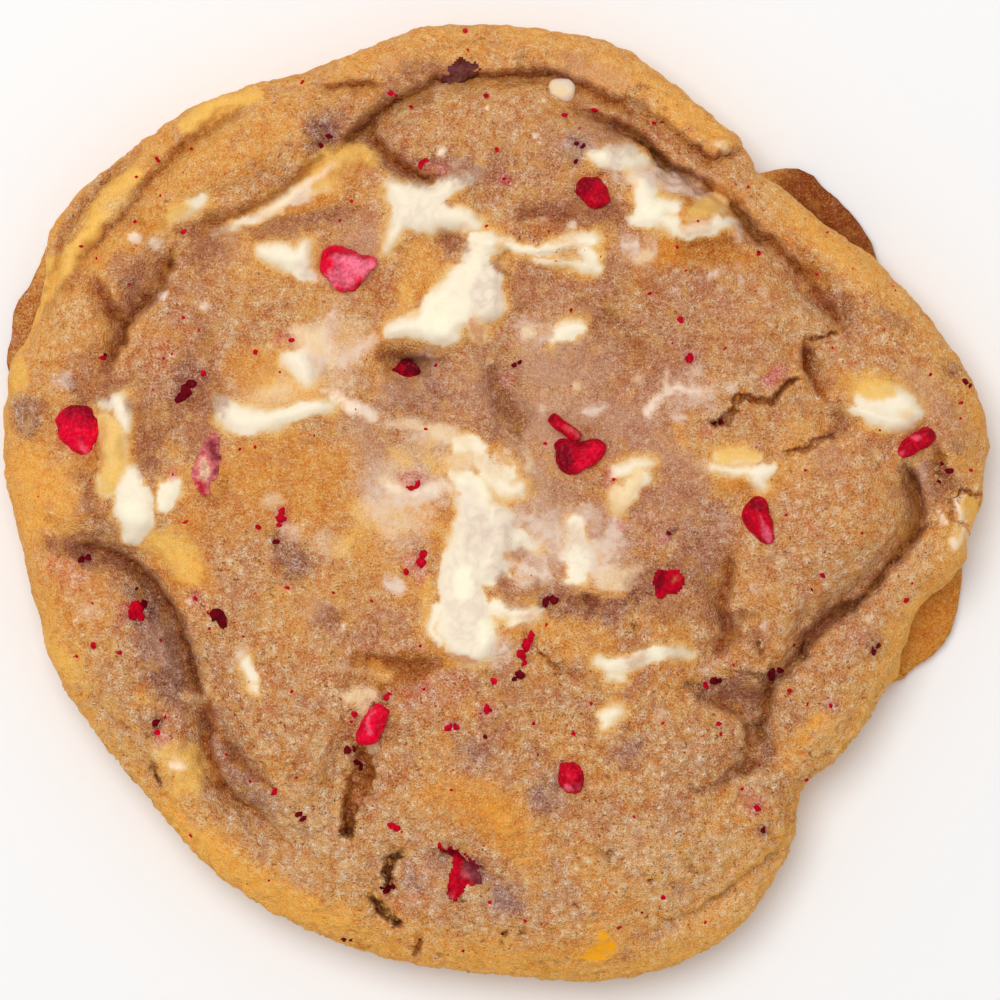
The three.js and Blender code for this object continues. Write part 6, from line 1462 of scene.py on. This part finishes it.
# Each lump: place, outline, height, share sunk, facets, colour, then the strokes on it.
berries = {
    "01": (-16.3, 25.8, [(-2.3, 2.05), (-1.6, 2.3), (0.35, 2), (2, 1.45), (3.3, 0.9), (3.35, 0.2),
        (2.7, -0.5), (1.7, -2), (0.05, -2.8), (-1.3, -2.5), (-2.4, -1.7), (-3, 0), (-2.95, 1.2)], 1.7,
        0.4, 0.5, "scarlet", [("pink", 1.4, 1, [(-16.4, 26.6, 0.9), (-14.8, 26, 1.5),
        (-13.8, 25.8, 1)]), ("pink", 1, 0.8, [(-17.4, 24.6, 1.1), (-16.2, 24.2, 0.9)],
        [(-17.4, 26.8, 0.6)]), ("crimson", 0.7, 0.8, [(-18.4, 27.6, 0.4), (-16, 27.4, 0.4),
        (-14, 27, 0.3)])]),
    "02": (10.6, 34, [(-1.9, -0.05), (-1.45, 1.3), (-0.4, 1.7), (0.65, 1.5), (1.6, 0.4), (1.9, -1.1),
        (1.25, -1.8), (0.2, -1.95), (-1, -1.1)], 1.6, 0.4, 0.25, "crimson", [("wine", 1.6, 0.7,
        [(9.3, 34.6, 1.1), (10.6, 35.4, 0.7)])]),
    "03": (-46, 8.1, [(-2.5, 1), (-1.45, 2.2), (0.2, 2.75), (1.6, 2.45), (2.4, 1.3), (2.55, -0.35),
        (2.2, -2), (2, -3.2), (1.2, -3.5), (-0.3, -2.55), (-1.8, -1)], 1.8, 0.45, 0.2, "scarlet",
        [("wine", 2, 0.85, [(-46.8, 10.2, 0.8), (-45.4, 10.4, 0.9), (-44.4, 9.8, 0.7)]), ("pink", 0.7,
        0.35, [(-45.6, 6.8, 0.15), (-44.8, 5.2, 0.4)])]),
    "04": (-9.8, 14.6, [(-2.2, -0.05), (-1.15, 0.55), (0.05, 1.35), (1.7, -0.2), (1.1, -1.1),
        (-0.1, -1.2), (-0.85, -0.8)], 1.2, 0.55, 0.3, "wine", [("crimson", 0.8, 0.7,
        [(-10.6, 14.6, 0.5)], [(-9.5, 13.8, 0.3)])]),
    "05": (7.5, 8.2, [(-1.9, 0.8), (-1.6, 1.4), (-1, 1.6), (0.6, 0.4), (1.9, -0.6), (1.9, -1.2),
        (1.2, -1.8), (0.4, -1.2), (-1, -0.1)], 1.1, 0.2, 0.25, "crimson", [("wine", 1, 0.7,
        [(6, 9.2, 0.6)]), ("rose", 0.5, 0.4, [(7.6, 8.4, 0.1), (8.9, 7.2, 0.3)])]),
    "06": (9.2, 5, [(-2.8, 1.5), (-2.1, 2), (-1.15, 2), (-0.1, 1.85), (0.95, 1.95), (2, 2.1),
        (2.8, 1.5), (2.8, 0.6), (1.85, -0.6), (0.35, -1.5), (-1.15, -2), (-2.05, -1.6), (-2.7, -0.6)],
        1.3, 0.35, 0.25, "crimson", [("wine", 1.8, 0.85, [(7, 5.6, 1.1), (7.6, 4.2, 1)],
        [(9.2, 6.4, 0.5)]), ("scarlet", 0.8, 0.7, [(9, 4, 0.4), (11, 5.6, 0.7)])]),
    "07": (46.2, 6.8, [(-2.2, -1.25), (-2.05, -0.5), (-0.85, 0.7), (0.5, 1.6), (1.55, 1.45),
        (2.1, 0.55), (1.7, -0.2), (0.35, -1.1), (-1.15, -1.9), (-1.9, -1.8)], 1.4, 0.35, 0.3, "crimson",
        [("wine", 0.8, 0.7, [(47.6, 7.6, 0.5)], [(46.4, 7.9, 0.35)]), ("pink", 0.5, 0.5,
        [(46, 7.2, 0.35)], [(44.3, 5.4, 0.3)])]),
    "08": (28.5, -1.7, [(-1.75, 0.35), (-1.3, 1.4), (-0.25, 2.35), (0.8, 2.1), (1.5, 1.2),
        (1.75, -0.55), (1.95, -2.25), (1.4, -2.9), (0.5, -2.65), (-0.8, -1.3), (-1.5, -0.4)], 1.5, 0.35,
        0.25, "crimson", [("wine", 1.2, 0.7, [(28.2, 0, 0.7), (29, -0.4, 0.5)]), ("pink", 0.5, 0.55,
        [(28.7, -1.6, 0.12), (29.6, -3.4, 0.4), (29.8, -4.2, 0.3)])]),
    "09": (-13.8, -24.1, [(-1.6, -1.7), (-1.45, -0.75), (-0.4, 0.9), (0.5, 2.1), (1.3, 2.2),
        (2.2, 1.65), (2.05, 0.75), (1.45, -1.05), (0.65, -2.15), (-0.55, -2.35), (-1.45, -2.15)], 1.5,
        0.25, 0.35, "scarlet", [("pink", 0.5, 0.5, [(-13.4, -22.6, 0.15), (-14.2, -24, 0.2),
        (-13.6, -25.2, 0.2)]), ("crimson", 0.6, 0.8, [(-12.6, -23.4, 0.3), (-13, -24.8, 0.3)])]),
    "10": (8.2, -29.9, [(-1.45, 0.25), (-1.15, 1.45), (-0.4, 1.7), (0.65, 1.45), (1.6, 0.1),
        (1.3, -1.25), (0.35, -1.8), (-0.7, -1.6), (-1.35, -0.65)], 1.5, 0.4, 0.3, "crimson", [("pink",
        0.5, 0.6, [(7.9, -31, 0.35)], [(8.9, -30.9, 0.2)]), ("scarlet", 0.8, 0.7,
        [(8.6, -29.4, 0.8)])]),
}
for number, (name, drawn) in enumerate(berries.items()):
    x, y, outline, height, sink, facets, colour, strokes = drawn
    berry, lumps, fine = lump("raspberry_piece_" + name, x, y, outline, height, sink, facets, 0.07,
                              number * 1.7 + 0.4)
    co = points_of(berry)
    coat = np.tile(in_light(colour), (len(co), 1))
    painted(coat, wandered(co), strokes)
    # Painted shade: darker towards the base, where the lump sinks into the dough, and in the hollows of
    # its facets; a faint painted highlight of pink on the tops of its grains.
    low = smooth_step(0.5, -0.3, co[:, 2] - crust_level(x, y))
    dye(coat, "wine", 0.6 * low)
    dye(coat, "wine", 0.3 * smooth_step(0.0, -0.5, lumps))
    dye(coat, "pink", 0.08 * smooth_step(0.1, 0.5, fine))
    wear_coat(berry, coat)
    wear(berry, raspberry_finish)
    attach(berry, "root")
    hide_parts("raspberry_" + name)

# Four pieces lie flush with the dough, baked into hollows and half covered with crumb.
sunken = {
    "11": ("plum", [[(-5.4, 46.6, 0.5), (-4.4, 47.3, 0.9), (-3.2, 47.6, 1), (-2.4, 47.6, 0.6)]],
        [("umber", 0.6, 0.8, [(-4.6, 48.3, 0.35), (-3.3, 48.5, 0.35), (-2.4, 48.1, 0.3)]), ("dusk", 1,
        0.5, [(-4.4, 46.6, 0.8), (-2.6, 47.2, 0.5)])]),
    "12": ("crimson", [[(-6, -37.4, 0.25), (-4.8, -38, 0.4), (-3.6, -39, 0.7), (-2.6, -40, 0.9)],
        [(-4.2, -39.6, 0.5), (-4.2, -41.4, 0.8), (-4.7, -42.8, 0.7)], [(-2.6, -41, 0.8)]], [("plum", 1,
        0.85, [(-2.8, -39.8, 0.9), (-2, -41, 1)]), ("wine", 0.7, 0.8, [(-5, -37.9, 0.4),
        (-3.4, -38.7, 0.4), (-1.8, -39.8, 0.3)], [(-5.3, -42.2, 0.3)]), ("rose", 0.8, 0.5,
        [(-3.2, -40.6, 0.4)], [(-5, -43.1, 0.3)])]),
    "13": ("crimson", [[(18.4, -8.6, 1.2), (19.4, -8.6, 1.1)], [(18, -9.8, 0.5)]], [("wine", 0.8, 0.85,
        [(17.8, -9, 0.7), (18, -8, 0.5)]), ("coral", 0.5, 0.5, [(19.6, -8.4, 0.3)])]),
    "14": ("rose", [[(-31, 6.8, 0.6), (-31.2, 5, 1.1), (-31.7, 3.4, 1.4), (-32, 2.2, 0.9),
        (-31.8, 1.2, 0.4)]], [("wine", 1, 0.8, [(-31, 6.4, 0.7), (-30.6, 5, 0.6)], [(-30.4, 3.4, 0.4)]),
        ("cream", 0.9, 0.7, [(-31.9, 4.4, 0.5), (-31.8, 3, 0.6)]), ("crimson", 0.7, 0.9,
        [(-32.7, 2.4, 0.4), (-32, 1.3, 0.4)])]),
}
for name, (colour, lines, strokes) in sunken.items():
    berry = pour("raspberry_piece_" + name, lines, 0.35, edge=0.3, rounds=2)
    co = points_of(berry)
    rough = np.array([noise.fractal(Vector(point) * 1.6, 1.0, 2.0, 3) for point in co])
    co[:, 2] += 0.12 + 0.12 * rough
    set_points(berry, co)
    coat = np.tile(in_light(colour), (len(co), 1))
    painted(coat, wandered(co), strokes)
    # Painted shade in the low parts of their rough relief.
    dye(coat, "wine", 0.4 * smooth_step(0.1, -0.5, rough))
    for layer in ("coat", "smoothness"):
        berry.data.attributes.remove(berry.data.attributes[layer])
    wear_coat(berry, coat)
    wear(berry, raspberry_finish)
    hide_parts("raspberry_" + name)

# ---- Raspberry crumbs --------------------------------------------------------------------
# Crumbs and dust of the same raspberry all over the crust: the larger ones in the places
# that stained it, and a scatter of tiny ones. All are flattened grains joined into one mesh.
seeded = random.Random(41)
dust_count = 230
dust_reach = 51
foot_level = 4  # a place below this is on the foot or beside the cookie
scattered = []
while len(scattered) < dust_count:
    angle = seeded.uniform(0, 2 * math.pi)
    away = dust_reach * math.sqrt(seeded.random())
    x, y = away * math.cos(angle), away * math.sin(angle)
    if crust_level(x, y) > foot_level:
        scattered.append((x, y, seeded.uniform(0.05, 0.12)))


def grain_shape(rounds):
    """Points and faces of a ball, coarser for a dust grain than for a crumb."""
    bpy.ops.object.select_all(action="DESELECT")
    bpy.ops.mesh.primitive_ico_sphere_add(subdivisions=rounds, radius=1.0)
    ball = bpy.context.active_object
    points = np.array([vertex.co for vertex in ball.data.vertices])
    faces = np.array([face.vertices for face in ball.data.polygons])
    bpy.ops.object.delete()
    return points, faces


crumb_shape = grain_shape(2)
dust_shape = grain_shape(1)
largest_dust = 0.26


def slope(x, y):
    """Which way the dough faces at a place."""
    place, way, *_ = crust_shape.ray_cast(Vector((x, y, overhead)) * MM, straight_down)
    return way if place else -straight_down


def grains_mesh(name, grains, finish):
    """One mesh of many uneven grains: place, radius, flatness, sink and colour of each."""
    points, faces, coats = [], [], []
    for x, y, radius, flat, sink, colour in grains:
        turn = seeded.uniform(0, 2 * math.pi)
        grain_points, grain_faces = crumb_shape if radius > largest_dust else dust_shape
        shape = grain_points.copy()
        shift = Vector((x, y, radius)) * 3.1
        rough = np.array([noise.noise(Vector(point) * 1.3 + shift) for point in shape])
        shape *= (1 + 0.5 * rough)[:, None]
        shape *= (radius * seeded.uniform(0.9, 1.35), radius * seeded.uniform(0.65, 1.0), radius * flat)
        across = shape[:, 0] * math.cos(turn) - shape[:, 1] * math.sin(turn)
        along = shape[:, 0] * math.sin(turn) + shape[:, 1] * math.cos(turn)
        faced = slope(x, y)
        tilt = -(faced.x * across + faced.y * along) / max(faced.z, 0.4)
        up = shape[:, 2] + tilt + crust_level(x, y) - sink * radius
        faces.append(grain_faces + sum(len(group) for group in points))
        points.append(np.column_stack([across + x, along + y, up]))
        coat = np.tile(in_light(colour), (len(shape), 1))
        coat[:, :3] *= 1 + 0.5 * rough.mean()
        coat[:, :3] *= (1 + 0.35 * rough)[:, None]
        coats.append(coat)
    mesh = bpy.data.meshes.new(name)
    mesh.from_pydata((np.vstack(points) * MM).tolist(), [], np.vstack(faces).tolist())
    piece = bpy.data.objects.new(name, mesh)
    bpy.context.scene.collection.objects.link(piece)
    bpy.ops.object.select_all(action="DESELECT")
    piece.select_set(True)
    bpy.context.view_layer.objects.active = piece
    bpy.ops.object.shade_smooth()
    wear_coat(piece, np.clip(np.vstack(coats), 0, 1))
    wear(piece, finish)
    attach(piece, "root")


red_grains = [(x, y, 1.15 * radius, 0.45, 0.1, colour) for colour, places in crumb_places.items()
              for x, y, radius in places]
red_grains += [(x, y, radius, 0.5, 0.1, "crimson") for x, y, radius in scattered]
grains_mesh("raspberry_crumbs", red_grains, raspberry_finish)

# ---- Loose dough crumbs ------------------------------------------------------------------
# Little crumbs of the baked dough along the edges of the cracks and all over the lower
# half, where the crust is roughest, joined into one mesh.
crumb_tries = 420
crumb_reach = 49
crumb_colours = ["sand", "tan", "gold"]
pale_grains = []
for knots, depth in cracks:
    line = curved(knots)
    for _ in range(int(2 + 0.7 * len(line))):
        x, y, half = line[seeded.randrange(len(line))]
        angle = seeded.uniform(0, 2 * math.pi)
        away = half + seeded.uniform(0.0, 0.4)
        pale_grains.append((x + away * math.cos(angle), y + away * math.sin(angle),
                            seeded.uniform(0.12, 0.34), 0.55, 0.3, seeded.choice(crumb_colours)))
for _ in range(crumb_tries):
    angle = seeded.uniform(0, 2 * math.pi)
    away = crumb_reach * math.sqrt(seeded.random())
    x, y = away * math.cos(angle), away * math.sin(angle)
    if y < -16 or seeded.random() < 0.35:
        pale_grains.append((x, y, seeded.uniform(0.1, 0.3), 0.5, 0.4, seeded.choice(crumb_colours)))
pale_grains = [grain for grain in pale_grains if crust_level(*grain[:2]) > foot_level]
grains_mesh("dough_crumbs", pale_grains, crust_finish)
